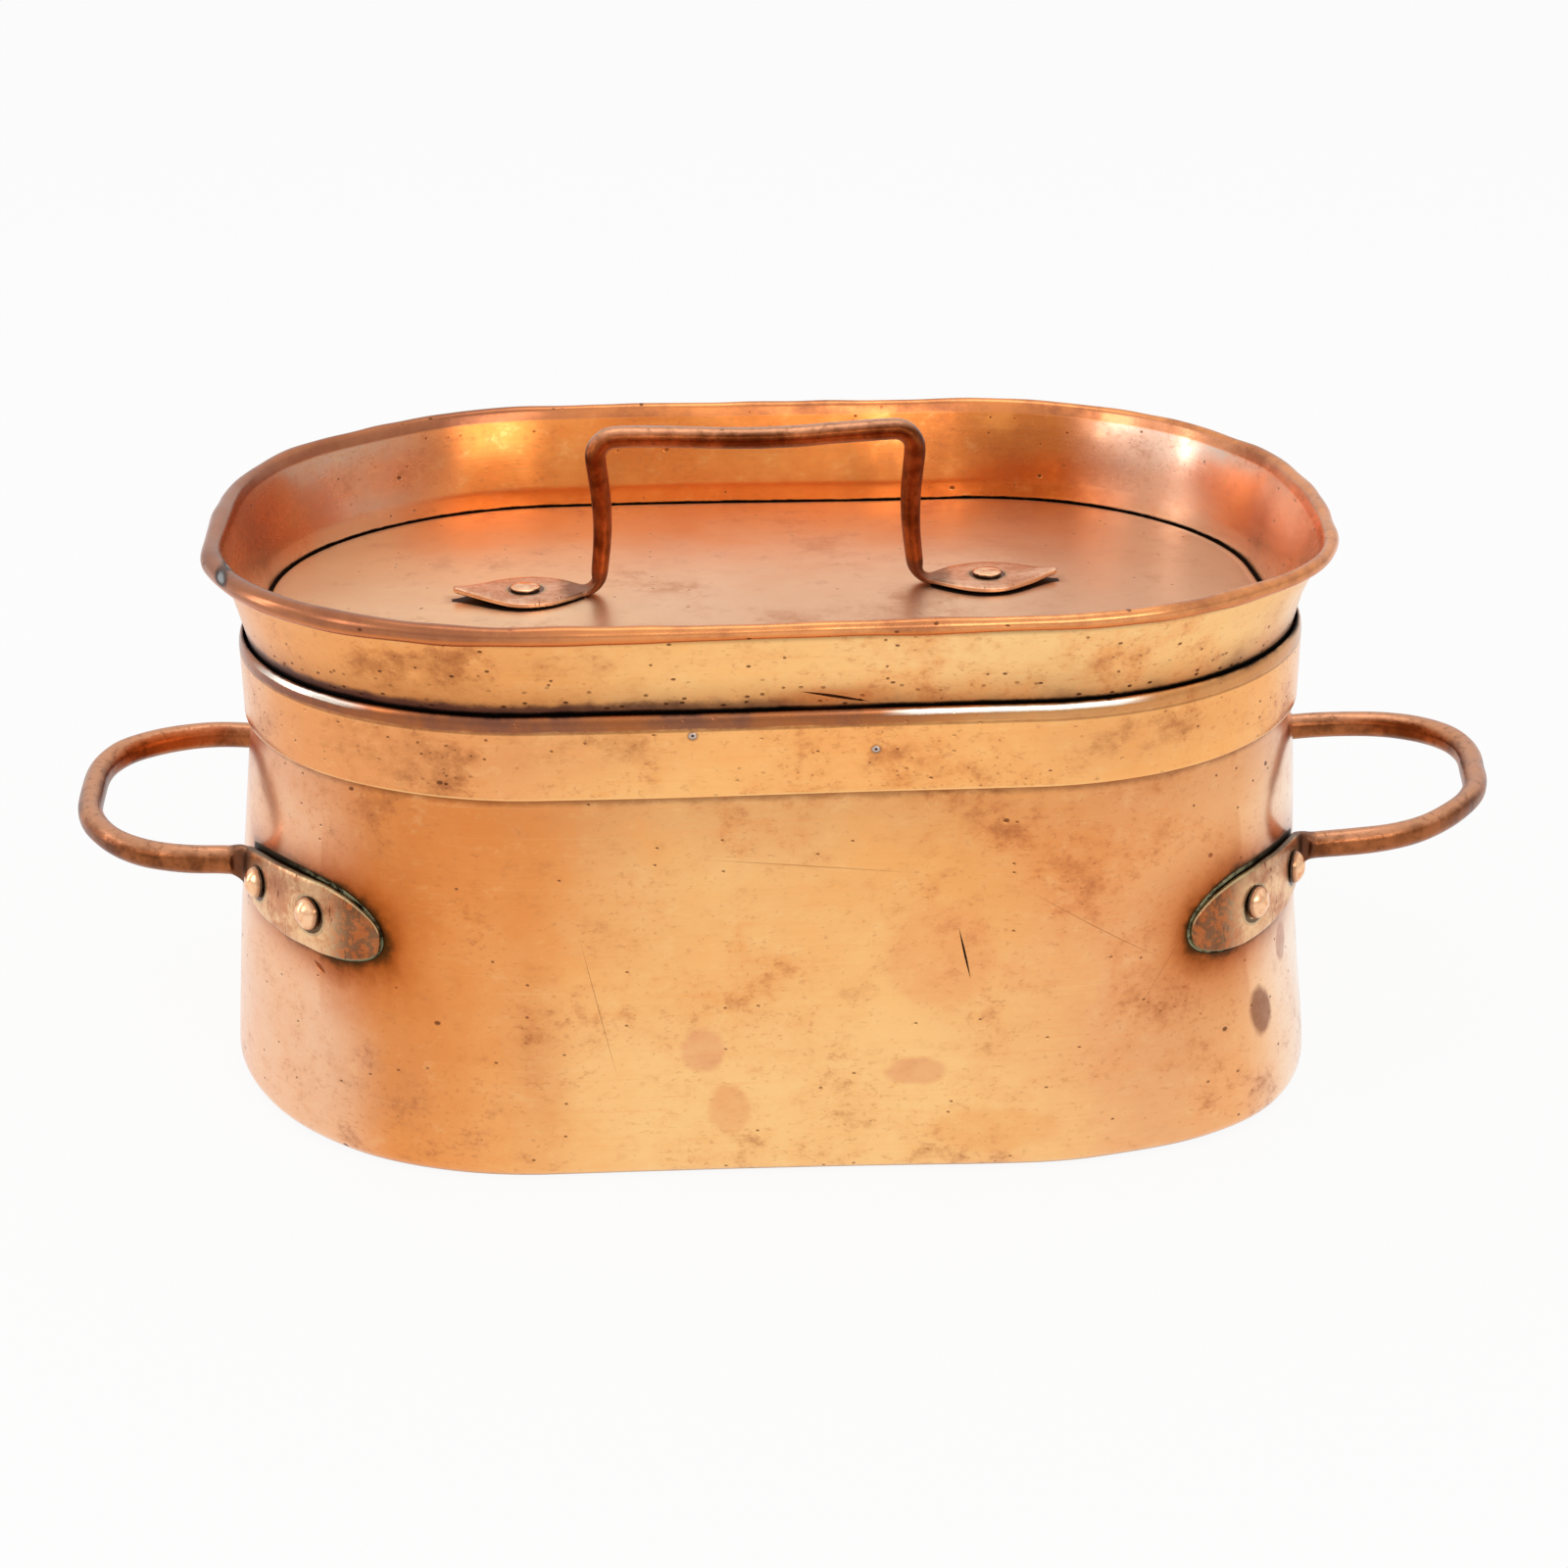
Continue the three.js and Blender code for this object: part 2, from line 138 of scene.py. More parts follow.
# Where a finish's marks on the front fade in, along Y
FRONT = (-40, -60)


def clamp(value, low=0.0, high=1.0):
    return min(max(value, low), high)


def blend(low, high, share):
    return low + (high - low) * share


def ease(low, high, value):
    """0 up to low, 1 from high on, and a smooth change between."""
    share = clamp((value - low) / (high - low))
    return share * share * (3 - 2 * share)


def arc(middle, radius, start, end, steps):
    """Points of a circle's arc in a section, from one angle in degrees to another."""
    angles = [math.radians(blend(start, end, step / steps)) for step in range(steps + 1)]
    return [(middle[0] + radius * math.cos(a), middle[1] + radius * math.sin(a)) for a in angles]


def line(start, end, steps):
    """Points of a straight run in a section, without its first point."""
    shares = [(step + 1) / steps for step in range(steps)]
    return [(blend(start[0], end[0], s), blend(start[1], end[1], s)) for s in shares]


def spread_at(height):
    """How far the body stands outside the neck at a height."""
    share = clamp((NECK_FOOT - height) / (NECK_FOOT - EDGE_RADIUS))
    return BOTTOM_SPREAD * (1 - (1 - share) ** SPREAD_POWER)


def lean_at(height):
    return (spread_at(height - 1) - spread_at(height + 1)) / 2


# Hand work

# Each dent: middle, half sizes along X, Y and Z, and how deep it is pushed in; a bulge is below 0
DENTS = [
    ((-158, 92, 178), (56, 56, 24), 0.8),
    ((-138, 110, 178), (40, 40, 28), 2.0),
    ((-180, 45, 178), (26, 32, 24), 1.0),
    ((-186, -28, 178), (16, 34, 16), 1.4),
    ((20, -124, 155), (30, 20, 5), 0.9),
    ((104, -112, 136), (16, 20, 9), 0.8),
    ((-60, -130, 128), (40, 25, 9), 0.5),
    ((70, -128, 60), (60, 40, 34), 0.9),
    ((-110, -112, 34), (46, 50, 26), 0.8),
    ((30, 128, 70), (70, 40, 30), 1.0),
    ((205, -10, 40), (100, 150, 86), 4.6),
    ((150, -102, 12), (60, 60, 46), -5.5),
    ((-40, -131, 8), (120, 40, 50), 2.2),
    ((132, 104, 178), (86, 74, 44), 3.6),
    ((166, 60, 178), (30, 30, 30), 1.4),
    ((186, 0, 178), (30, 40, 30), -2.2),
    ((164, -74, 178), (44, 40, 22), -2.4),
]


def outwards(point):
    """The horizontal direction out of the pot at a point, and how far it is from the plan's core."""
    core = Vector((clamp(point.x, -CORNER_X, CORNER_X), clamp(point.y, -CORNER_Y, CORNER_Y), 0))
    out = Vector((point.x, point.y, 0)) - core
    reach = out.length
    return (out / reach if reach > 1e-6 else Vector((0, 0, 0))), reach


def wave(point, size, start):
    """Soft random waves of about a size, from -1 to 1; the start picks which part of them."""
    return noise.noise(point / size + Vector(start))


def by_hand(point):
    """Where hand work leaves a point: slow waves, small ripples from planishing, and the dents."""
    out, reach = outwards(point)
    flat = Vector((point.x, point.y, 0))
    push = 1.1 * wave(point, 92, (3.1, 7.7, 1.3)) + 0.16 * wave(point, 26, (9.4, 2.2, 5.8))
    for middle, size, depth in DENTS:
        away = point - Vector(middle)
        far = (away.x / size[0]) ** 2 + (away.y / size[1]) ** 2 + (away.z / size[2]) ** 2
        push -= depth * max(0.0, 1 - far) ** 2
    lift = 0.9 * wave(flat, 120, (1.7, 4.2, 8.8))
    moved = point + out * push * ease(30, 80, reach)
    moved.z += lift * ease(8, 60, point.z)
    return moved


def work_over(bm):
    """Works a piece over by hand; its finish keeps to the places that the sheet had before."""
    made = bm.verts.layers.float_vector.new("made")
    for vert in bm.verts:
        vert[made] = vert.co
        vert.co = by_hand(vert.co)


# Making pieces


def finish_piece(bm, name, body, stands_for, finish, sharp=50, rounding=0):
    """Brings a piece to metres, gives it its finish and ties it to the frame."""
    bmesh.ops.scale(bm, vec=(MM, MM, MM), verts=bm.verts)
    mesh = bpy.data.meshes.new(name)
    bm.to_mesh(mesh)
    bm.free()
    mesh.shade_smooth()
    mesh.set_sharp_from_angle(angle=math.radians(sharp))
    mesh.materials.append(finish)
    piece = bpy.data.objects.new(name, mesh)
    bpy.context.scene.collection.objects.link(piece)
    if rounding:
        smooth = piece.modifiers.new("rounding", "SUBSURF")
        smooth.levels = rounding
        smooth.render_levels = rounding
    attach(piece, body)
    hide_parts(*stands_for)
    return piece


def only(geometry, kind):
    return [item for item in geometry if isinstance(item, kind)]


def carried(bm, row, middle, angle, shift, steps):
    """Carries a row of the section on, turned about a middle or shifted, and returns the last row."""
    step_shift = Vector(shift) / steps
    made = bmesh.ops.spin(
        bm, geom=row, cent=middle, axis=(0, 0, 1), dvec=step_shift,
        angle=angle, steps=steps, use_merge=False
    )
    last = made["geom_last"]
    return only(last, bmesh.types.BMVert) + only(last, bmesh.types.BMEdge)


def carry_round(section, closed=True, inner_from=None):
    """A section of (offset from the neck, height) points, carried once round the pot's plan."""
    bm = bmesh.new()
    inner = bm.verts.layers.float.new("inner")
    start_x = CORNER_X + NECK_RADIUS
    verts = []
    for number, (offset, height) in enumerate(section):
        vert = bm.verts.new((start_x + offset, -CORNER_Y, height))
        vert[inner] = inner_from is not None and number >= inner_from
        verts.append(vert)
    pairs = list(zip(verts, verts[1:]))
    if closed:
        pairs.append((verts[-1], verts[0]))
    row = verts + [bm.edges.new(pair) for pair in pairs]
    corner_steps = round(math.pi / 2 * NECK_RADIUS / STEP_ALONG)
    for side_x, side_y in ((1, 1), (-1, 1), (-1, -1), (1, -1)):
        run = (0, side_x * 2 * CORNER_Y, 0) if side_x == side_y else (-side_y * 2 * CORNER_X, 0, 0)
        run_steps = round(Vector(run).length / STEP_ALONG)
        row = carried(bm, row, (0, 0, 0), 0, run, run_steps)
        corner = (side_x * CORNER_X, side_y * CORNER_Y, 0)
        row = carried(bm, row, corner, math.pi / 2, (0, 0, 0), corner_steps)
    bmesh.ops.remove_doubles(bm, verts=bm.verts, dist=0.001)
    bmesh.ops.recalc_face_normals(bm, faces=bm.faces)
    return bm


def plate(edge_section, top, under):
    """A flat plate to the plan: its rim section carried round, and a grid over the plan's core."""
    rows = round(NECK_RADIUS / STEP_ALONG)
    heart = -NECK_RADIUS
    upper = line((heart, top), edge_section[0], rows)
    lower = line(edge_section[-1], (heart, under), rows)
    bm = carry_round([(heart, top)] + upper + edge_section[1:] + lower, closed=False)
    for height in (top, under):
        bmesh.ops.create_grid(
            bm,
            x_segments=round(2 * CORNER_X / STEP_ALONG),
            y_segments=round(2 * CORNER_Y / STEP_ALONG),
            size=1,
            matrix=Matrix.Translation((0, 0, height)) @ Matrix.Diagonal((CORNER_X, CORNER_Y, 1, 1)),
        )
    bmesh.ops.remove_doubles(bm, verts=bm.verts, dist=0.01)
    bmesh.ops.dissolve_degenerate(bm, dist=0.001, edges=bm.edges)
    bmesh.ops.recalc_face_normals(bm, faces=bm.faces)
    return bm


def raise_pot_wall(finish):
    """The wall: turned-in lip, bottom edge, spreading body and plain neck, with its inner face."""
    edge_middle = (BOTTOM_SPREAD - EDGE_RADIUS, EDGE_RADIUS)
    heights = [blend(EDGE_RADIUS, NECK_FOOT, step / 34) for step in range(1, 35)]
    outer = [(BASE_EDGE, 0)] + arc(edge_middle, EDGE_RADIUS, -90, 0, 8)
    outer += [(spread_at(height), height) for height in heights]
    outer += line((0, NECK_FOOT), (0, POT_HEIGHT - RIM_DROP), 4)
    rim = arc((-POT_SHEET / 2, POT_HEIGHT - RIM_DROP), POT_SHEET / 2, 30, 150, 4)
    inner = [(BASE_EDGE, POT_SHEET)] + arc(edge_middle, EDGE_RADIUS - POT_SHEET, -90, 0, 5)
    inner += [(spread_at(height) - POT_SHEET, height) for height in heights[::3]]
    bm = carry_round(outer + rim + inner[::-1], inner_from=len(outer) + 2)
    work_over(bm)
    return finish_piece(bm, "pot_wall_copper", "pot", ["pot_wall"], finish)


def set_base_plate(finish):
    edge = BASE_EDGE - JOINT_GAP
    cut = 0.3
    rim = [(edge - cut, POT_SHEET), (edge, POT_SHEET - cut), (edge, cut), (edge - cut, 0)]
    bm = plate(rim, POT_SHEET, 0)
    work_over(bm)
    return finish_piece(bm, "pot_base_copper", "pot", ["pot_base"], finish)


def fold_skirt(finish):
    """The skirt: soft hem, outer face, folded shoulder, lip in the crevice, and the seat inside."""
    hem = SKIRT_HEM
    outer = LID_PLAY + LID_SHEET
    lip = JOINT_GAP - TRAY_INSET
    half = LID_SHEET / 2
    section = arc((LID_PLAY + half, hem + half), half, 180, 360, 6)
    section += line((outer, hem + half), (outer, SHOULDER_TOP - SHOULDER_HEIGHT), 9)
    ledge = lip + 0.9
    for step in range(1, 11):
        turn = math.pi / 2 * step / 10
        section.append(
            (blend(ledge, outer, math.cos(turn)), SHOULDER_TOP - SHOULDER_HEIGHT * (1 - math.sin(turn)))
        )
    section += line(section[-1], (lip + 0.1, SHOULDER_TOP - 1.9), 3)
    section += line(section[-1], (lip, SEAT_TOP), 3)
    section += line((lip, SEAT_TOP), (LID_PLAY - SEAT_WIDTH, SEAT_TOP), 2)
    section += line((LID_PLAY - SEAT_WIDTH, SEAT_UNDER), (LID_PLAY, SEAT_UNDER), 2)
    section.insert(-2, (LID_PLAY - SEAT_WIDTH, SEAT_UNDER))
    section += line((LID_PLAY, SEAT_UNDER), (LID_PLAY, hem + half), 4)[:-1]
    bm = carry_round(section)
    work_over(bm)
    return finish_piece(bm, "lid_skirt_copper", "lid", ["lid_skirt"], finish)


def flare_tray_wall(finish):
    """The tray wall: foot, lean outwards, and the rim rolled round its wire."""
    start = 180 - math.degrees(math.atan2(TRAY_FLARE, TRAY_HEIGHT))
    middle = (ROLL_OFFSET, ROLL_HEIGHT)
    inside_roll = arc(middle, ROLL_INNER, start, start - ROLL_SWEEP, 14)
    outside_roll = arc(middle, ROLL_OUTER, start, start - ROLL_SWEEP, 20)
    outside = [(-TRAY_INSET, TRAY_FOOT)]
    inside = [(-TRAY_INSET - TRAY_SHEET, TRAY_FOOT)]
    rise = inside_roll[0][1] - SHOULDER_TOP
    reach = inside_roll[0][0] + TRAY_INSET
    for step in range(12):
        share = step / 12
        out = (0.8 * share + 0.2 * share**2) * reach
        outside.append((out - TRAY_INSET, SHOULDER_TOP + share * rise))
        inside.append((out - TRAY_INSET - TRAY_SHEET, SHOULDER_TOP + share * rise))
    rings = outside + inside_roll + outside_roll[::-1]
    bm = carry_round(rings + inside[::-1], inner_from=len(rings) - 2)
    work_over(bm)
    swell_roll(bm)
    return finish_piece(bm, "lid_tray_wall_copper", "lid", ["lid_tray_wall"], finish)


def swell_roll(bm):
    """Makes the roll as uneven as hand work leaves it, and fuller towards the left front."""
    made = bm.verts.layers.float_vector["made"]
    for vert in bm.verts:
        out, reach = outwards(vert[made])
        beside = reach - NECK_RADIUS - ROLL_OFFSET
        above = vert[made].z - ROLL_HEIGHT
        far = math.hypot(beside, above)
        if ROLL_INNER + 0.5 < far < ROLL_OUTER + 0.1:
            uneven = 0.45 * wave(vert[made], 18, (6.1, 3.3, 2.9))
            fuller = 1.1 * ease(20, 130, -vert[made].x) * ease(60, -20, vert[made].y)
            vert.co += (out * beside + Vector((0, 0, above))) / far * (uneven + fuller)


def lay_rim_wire(finish):
    bm = carry_round(arc((ROLL_OFFSET, ROLL_HEIGHT), WIRE_RADIUS, 0, 324, 9))
    work_over(bm)
    return finish_piece(bm, "lid_rim_wire_iron", "lid", ["lid_rim_wire"], finish)


def lay_panel(finish):
    """The panel: flat, with a soft edge that leaves a dark seam to the tray wall."""
    soft = 0.6
    under = PANEL_TOP - LID_SHEET
    rim = arc((PANEL_EDGE - soft, PANEL_TOP - soft), soft, 90, 0, 3) + [(PANEL_EDGE, under)]
    bm = plate(rim, PANEL_TOP, under)
    for vert in bm.verts:
        flat = Vector((vert.co.x, vert.co.y, 0))
        uneven = 0.45 * wave(flat, 60, (5.5, 1.1, 2.7)) + 0.1 * wave(flat, 22, (2.5, 8.1, 4.7))
        vert.co.z += uneven * (1 - ease(70, 92, outwards(flat)[1]))
    work_over(bm)
    return finish_piece(bm, "lid_panel_copper", "lid", ["lid_panel"], finish)


# Forged bars


def bar_corners(width, thickness, softness):
    """Twelve points of a bar's section, across and through, with cut corners and mid points."""
    cut = softness * min(width, thickness)
    w = width / 2
    t = thickness / 2
    quarter = [(w, 0), (w, t - cut), (w - cut, t), (0, t)]
    points = quarter[:3]
    points += [(-u, v) for u, v in quarter[:0:-1]]
    points += [(-u, -v) for u, v in quarter[:3]]
    points += [(u, -v) for u, v in quarter[:0:-1]]
    return points


class Station:
    """One cross-section of a forged bar: its place, its two directions and its size."""

    def __init__(self, at, across, facing, width, thickness, run, softness=0.3):
        self.at = at
        self.across = across
        self.facing = facing
        self.width = width
        self.thickness = thickness
        self.run = run
        self.softness = softness

    def points(self):
        corners = bar_corners(self.width, self.thickness, self.softness)
        return [self.at + self.across * u + self.facing * v for u, v in corners]

    def lie(self, number):
        """Where a corner lies on the bar: from the tip, across, and through it from -1 to 1."""
        across, through = bar_corners(self.width, self.thickness, self.softness)[number]
        return Vector((self.run, across, 2 * through / self.thickness))

    def mirrored(self, flip):
        def turned(vector):
            return Vector((vector.x * flip[0], vector.y * flip[1], vector.z))

        across = turned(self.across) if flip[0] == 1 else self.across
        size = (self.width, self.thickness, self.run, self.softness)
        return Station(turned(self.at), across, turned(self.facing), *size)


def forge(stations):
    """A bar drawn out through its stations, ring by ring, closed at both ends."""
    bm = bmesh.new()
    place = bm.verts.layers.int.new("place")
    lie = bm.verts.layers.float_vector.new("lie")
    ring = []
    for number, at in enumerate(stations[0].points()):
        vert = bm.verts.new(at)
        vert[place] = number
        vert[lie] = stations[0].lie(number)
        ring.append(vert)
    edges = [bm.edges.new(pair) for pair in zip(ring, ring[1:] + ring[:1])]
    bm.faces.new(ring)
    for station in stations[1:]:
        made = bmesh.ops.extrude_edge_only(bm, edges=edges)["geom"]
        edges = only(made, bmesh.types.BMEdge)
        ring = only(made, bmesh.types.BMVert)
        edges = [edge for edge in edges if edge.verts[0] in ring and edge.verts[1] in ring]
        points = station.points()
        for vert in ring:
            vert.co = points[vert[place]]
            vert[lie] = station.lie(vert[place])
    bmesh.ops.holes_fill(bm, edges=edges, sides=0)
    bmesh.ops.recalc_face_normals(bm, faces=bm.faces)
    return bm


def mark_lit_and_rubbed(bm):
    """Marks how far each face looks up: 1 on faces that look up, down to -1 where they look down; the
    finishes paint upward faces lighter, as painted light and as wear from hands and cloths.
    """
    bm.normal_update()
    lit_and_rubbed = bm.verts.layers.float.new("lit_and_rubbed")
    for vert in bm.verts:
        vert[lit_and_rubbed] = vert.normal.z


def hammer(bm, *blows):
    """Uneven flats left by the hammer, one round of blows after another: how deep and how wide."""
    for depth, width in blows:
        for vert in bm.verts:
            vert.co += noise.noise_vector(vert.co / width) * depth


def strap_root(height):
    """Where a strap leaves the wall: its radius round the corner and its angle there."""
    radius = NECK_RADIUS + spread_at(height) + JOINT_GAP + STRAP_THICK / 2
    angle = math.asin((LEG_Y - CORNER_Y + LOOP_BEND) / (radius + LOOP_BEND))
    return radius, angle


def loop_stations(reach, height):
    radius, root = strap_root(height)
    lean = lean_at(height)
    drooping = STRAP_LENGTH - STRAP_LEVEL
    half = []

    def add(x, y, facing, width, thickness, tilt, run, softness=0.3):
        out = Vector((math.cos(facing), math.sin(facing), 0))
        up = Vector((0, 0, 1)) - out * tilt
        droop = STRAP_DROOP * clamp((drooping - run) / drooping) ** 2
        at = Vector((x + droop * tilt * out.x, y + droop * tilt * out.y, height - droop))
        half.append(Station(at, up, out, width, thickness, run, softness))

    steps = 26
    for step in range(steps + 1):
        from_tip = STRAP_LENGTH * (step / steps) ** 1.3
        from_root = STRAP_LENGTH - from_tip
        angle = -(root + from_root / radius)
        to_tip = clamp((from_root - STRAP_WIDEST) / (STRAP_LENGTH - STRAP_WIDEST))
        to_root = clamp((STRAP_WIDEST - from_root) / STRAP_WIDEST)
        beaten = blend(STRAP_TIP_WIDE, STRAP_WIDE, (1 - to_tip**2) ** 0.6)
        width = blend(beaten, STRAP_ROOT_WIDE, to_root**3)
        thickness = STRAP_THICK * blend(1, STRAP_TIP_THIN, to_tip)
        middle = radius - (STRAP_THICK - thickness) / 2
        x = CORNER_X + middle * math.cos(angle)
        y = -CORNER_Y + middle * math.sin(angle)
        add(x, y, angle, width, thickness, lean, from_tip, 0.3)
    bend_x = CORNER_X + (radius + LOOP_BEND) * math.cos(root)
    bend_y = -CORNER_Y - (radius + LOOP_BEND) * math.sin(root)
    for step in range(1, 7):
        share = step / 6
        turn = blend(math.pi - root, math.pi / 2, share)
        width = blend(STRAP_ROOT_WIDE, BAR_WIDE, share)
        thickness = blend(STRAP_THICK, BAR_THICK, share**2)
        x = bend_x + LOOP_BEND * math.cos(turn)
        y = bend_y + LOOP_BEND * math.sin(turn)
        add(x, y, turn - math.pi, width, thickness, lean * (1 - share), STRAP_LENGTH + 11 * share)
    outermost = NECK_LENGTH / 2 + spread_at(height) + reach
    leg_end = outermost - LOOP_CORNER
    for step in range(1, 4):
        x = blend(bend_x, leg_end, step / 4)
        add(x, -LEG_Y, -math.pi / 2, BAR_WIDE, BAR_THICK, 0, STRAP_LENGTH + 20)
    for step in range(13):
        turn = blend(-math.pi / 2, 0, step / 12)
        x = leg_end + LOOP_CORNER * math.cos(turn)
        y = LOOP_CORNER - LEG_Y + LOOP_CORNER * math.sin(turn)
        add(x, y, turn, BAR_WIDE, BAR_THICK, 0, STRAP_LENGTH + 40)
    add(outermost, -(LEG_Y - LOOP_CORNER) / 2, 0, BAR_WIDE, BAR_THICK, 0, STRAP_LENGTH + 60)
    add(outermost, 0, 0, BAR_WIDE, BAR_THICK, 0, STRAP_LENGTH + 60)
    return half + [station.mirrored((1, -1)) for station in half[-2::-1]]


def forge_loop(side, finish):
    reach, height, turn = LOOPS[side]
    bm = forge(loop_stations(reach, height))
    wall = NECK_LENGTH / 2 + spread_at(height)
    outwards_by, skew, rise, power, twist = LOOP_BENDS[side]
    for vert in bm.verts:
        along = clamp((vert.co.x - wall + 4) / reach)
        aside = vert.co.y * math.cos(turn)
        vert.co.x += along * (skew * aside + outwards_by)
        vert.co.z += rise * along**power + twist * along * aside
    hammer(bm, (0.22, 9), (0.35, 34))
    mark_lit_and_rubbed(bm)
    bmesh.ops.rotate(bm, cent=(0, 0, 0), matrix=Matrix.Rotation(turn, 3, "Z"), verts=bm.verts)
    work_over(bm)
    return finish_piece(
        bm, f"{side}_loop_forged", "pot", [f"{side}_handle"], finish, rounding=2
    )


def forge_grip(finish):
    half = []
    middle = PANEL_TOP + JOINT_GAP + FOOT_THICK / 2
    top = PANEL_TOP + GRIP_HEIGHT
    flat = FOOT_LENGTH - FOOT_BEND
    across = Vector((0, -1, 0))

    def add(x, z, facing, width, thickness, run, softness=0.3):
        out = Vector((math.cos(facing), 0, math.sin(facing)))
        half.append(Station(Vector((x, 0, z)), across, out, width, thickness, run, softness))

    for step in range(25):
        from_tip = flat * step / 24
        to_tip = clamp(1 - from_tip / FOOT_RIVET)
        to_leg = clamp((from_tip - FOOT_RIVET) / (flat - FOOT_RIVET))
        leaf = blend(FOOT_TIP_WIDE, FOOT_WIDE, math.cos(math.pi / 2 * to_tip) ** 1.4)
        width = blend(leaf, GRIP_WIDE, to_leg**2)
        x = GRIP_LEG_X + FOOT_LENGTH - from_tip
        add(x, middle + FOOT_LIFT * to_tip**2, math.pi / 2, width, FOOT_THICK, from_tip, 0.2)
    for step in range(1, 7):
        share = step / 6
        turn = blend(-math.pi / 2, -math.pi, share)
        x = GRIP_LEG_X + FOOT_BEND + FOOT_BEND * math.cos(turn)
        z = middle + FOOT_BEND + FOOT_BEND * math.sin(turn)
        thickness = blend(FOOT_THICK, GRIP_THICK * LEG_TAPER, share**1.6)
        add(x, z, turn + math.pi, GRIP_WIDE * blend(1, LEG_TAPER, share), thickness, flat + 9 * share)
    for step in range(1, 6):
        z = blend(middle + FOOT_BEND, top - GRIP_CORNER, step / 6)
        bow = LEG_BOW * math.sin(math.pi * step / 6)
        taper = blend(LEG_TAPER, 1, step / 6)
        add(GRIP_LEG_X - bow, z, 0, GRIP_WIDE * taper, GRIP_THICK * taper, flat + 20)
    for step in range(7):
        turn = math.pi / 2 * step / 6
        x = GRIP_LEG_X - GRIP_CORNER + GRIP_CORNER * math.cos(turn)
        z = top - GRIP_CORNER + GRIP_CORNER * math.sin(turn)
        add(x, z, turn, GRIP_WIDE, GRIP_THICK, flat + 40)
    for step in range(1, 9):
        share = step / 8
        x = (GRIP_LEG_X - GRIP_CORNER) * (1 - share)
        sag = GRIP_SAG * math.sin(math.pi / 2 * share) ** 2
        add(x, top - sag, math.pi / 2, GRIP_WIDE, GRIP_THICK, flat + 60)
    stations = half + [station.mirrored((-1, 1)) for station in half[-2::-1]]
    bm = forge(stations)
    hammer(bm, (0.2, 8), (0.5, 40))
    mark_lit_and_rubbed(bm)
    bmesh.ops.transform(bm, matrix=GRIP_PLACE, verts=bm.verts)
    work_over(bm)
    return finish_piece(bm, "lid_grip_forged", "lid", ["lid_handle"], finish, rounding=2)


# Rivets


def set_rivet(name, body, node, place, seats, head, finish):
    """A rivet turned about its own axis; zero is the outer face of the sheet under it."""
    clinch_seat, head_seat = seats
    head_radius, head_height, roundness = head
    shank = 2.5
    clinch = 4.4
    profile = [(0, clinch_seat - 1.3), (0.6 * clinch, clinch_seat - 1.3), (0.9 * clinch, clinch_seat - 0.9)]
    profile += [(clinch, clinch_seat - 0.2), (clinch - 0.3, clinch_seat), (shank, clinch_seat)]
    profile += [(shank, head_seat), (head_radius - 0.5, head_seat + 0.05)]
    for step in range(9):
        turn = math.pi / 2 * step / 8
        wide = 0 if step == 8 else head_radius * max(math.cos(turn), 0) ** roundness
        profile.append((wide, head_seat + 0.2 + head_height * math.sin(turn) ** roundness))
    bm = bmesh.new()
    verts = [bm.verts.new((radius, 0, height)) for radius, height in profile]
    edges = [bm.edges.new(pair) for pair in zip(verts, verts[1:])]
    bmesh.ops.spin(
        bm, geom=verts + edges, cent=(0, 0, 0), axis=(0, 0, 1), dvec=(0, 0, 0),
        angle=2 * math.pi, steps=24, use_merge=True
    )
    bmesh.ops.remove_doubles(bm, verts=bm.verts, dist=0.001)
    bmesh.ops.recalc_face_normals(bm, faces=bm.faces)
    mark_lit_and_rubbed(bm)
    bmesh.ops.transform(bm, matrix=place, verts=bm.verts)
    hammer(bm, (0.18, 3.2))
    work_over(bm)
    return finish_piece(bm, name, body, [node], finish, sharp=60, rounding=1)


def set_strap_rivets(finish):
    for side, (_, height, turn) in LOOPS.items():
        radius, root = strap_root(height)
        face = NECK_RADIUS + spread_at(height)
        for end in (-1, 1):
            for which, from_root in STRAP_RIVETS.items():
                angle = root + from_root / radius
                x = CORNER_X + face * math.cos(angle)
                y = end * (CORNER_Y + face * math.sin(angle))
                axis = Vector((math.cos(angle), end * math.sin(angle), lean_at(height)))
                place = Matrix.Rotation(turn, 4, "Z") @ Matrix.Translation((x, y, height))
                place = place @ axis.to_track_quat("Z", "Y").to_matrix().to_4x4()
                facing = "front" if (end < 0) == (turn == 0) else "back"
                node = f"{side}_{facing}_{which}_rivet"
                seats = (-POT_SHEET - 0.7, JOINT_GAP + STRAP_THICK + 0.15)
                set_rivet(node + "_head", "pot", node, place, seats, STRAP_RIVET_HEAD, finish)


def set_grip_rivets(finish):
    for side, node in ((-1, "lid_handle_left_rivet"), (1, "lid_handle_right_rivet")):
        x = side * (GRIP_LEG_X + FOOT_LENGTH - FOOT_RIVET)
        place = GRIP_PLACE @ Matrix.Translation((x, 0, PANEL_TOP))
        seats = (-LID_SHEET - JOINT_GAP, JOINT_GAP + FOOT_THICK + 0.1)
        set_rivet(node + "_head", "lid", node, place, seats, FOOT_RIVET_HEAD, finish)


# Finishes


def tone(red, green, blue):
    """A colour given as it looks on a screen, 0 to 255, as the shader takes it."""
    parts = [value / 255 for value in (red, green, blue)]
    linear = [p / 12.92 if p <= 0.04045 else ((p + 0.055) / 1.055) ** 2.4 for p in parts]
    return (*linear, 1.0)


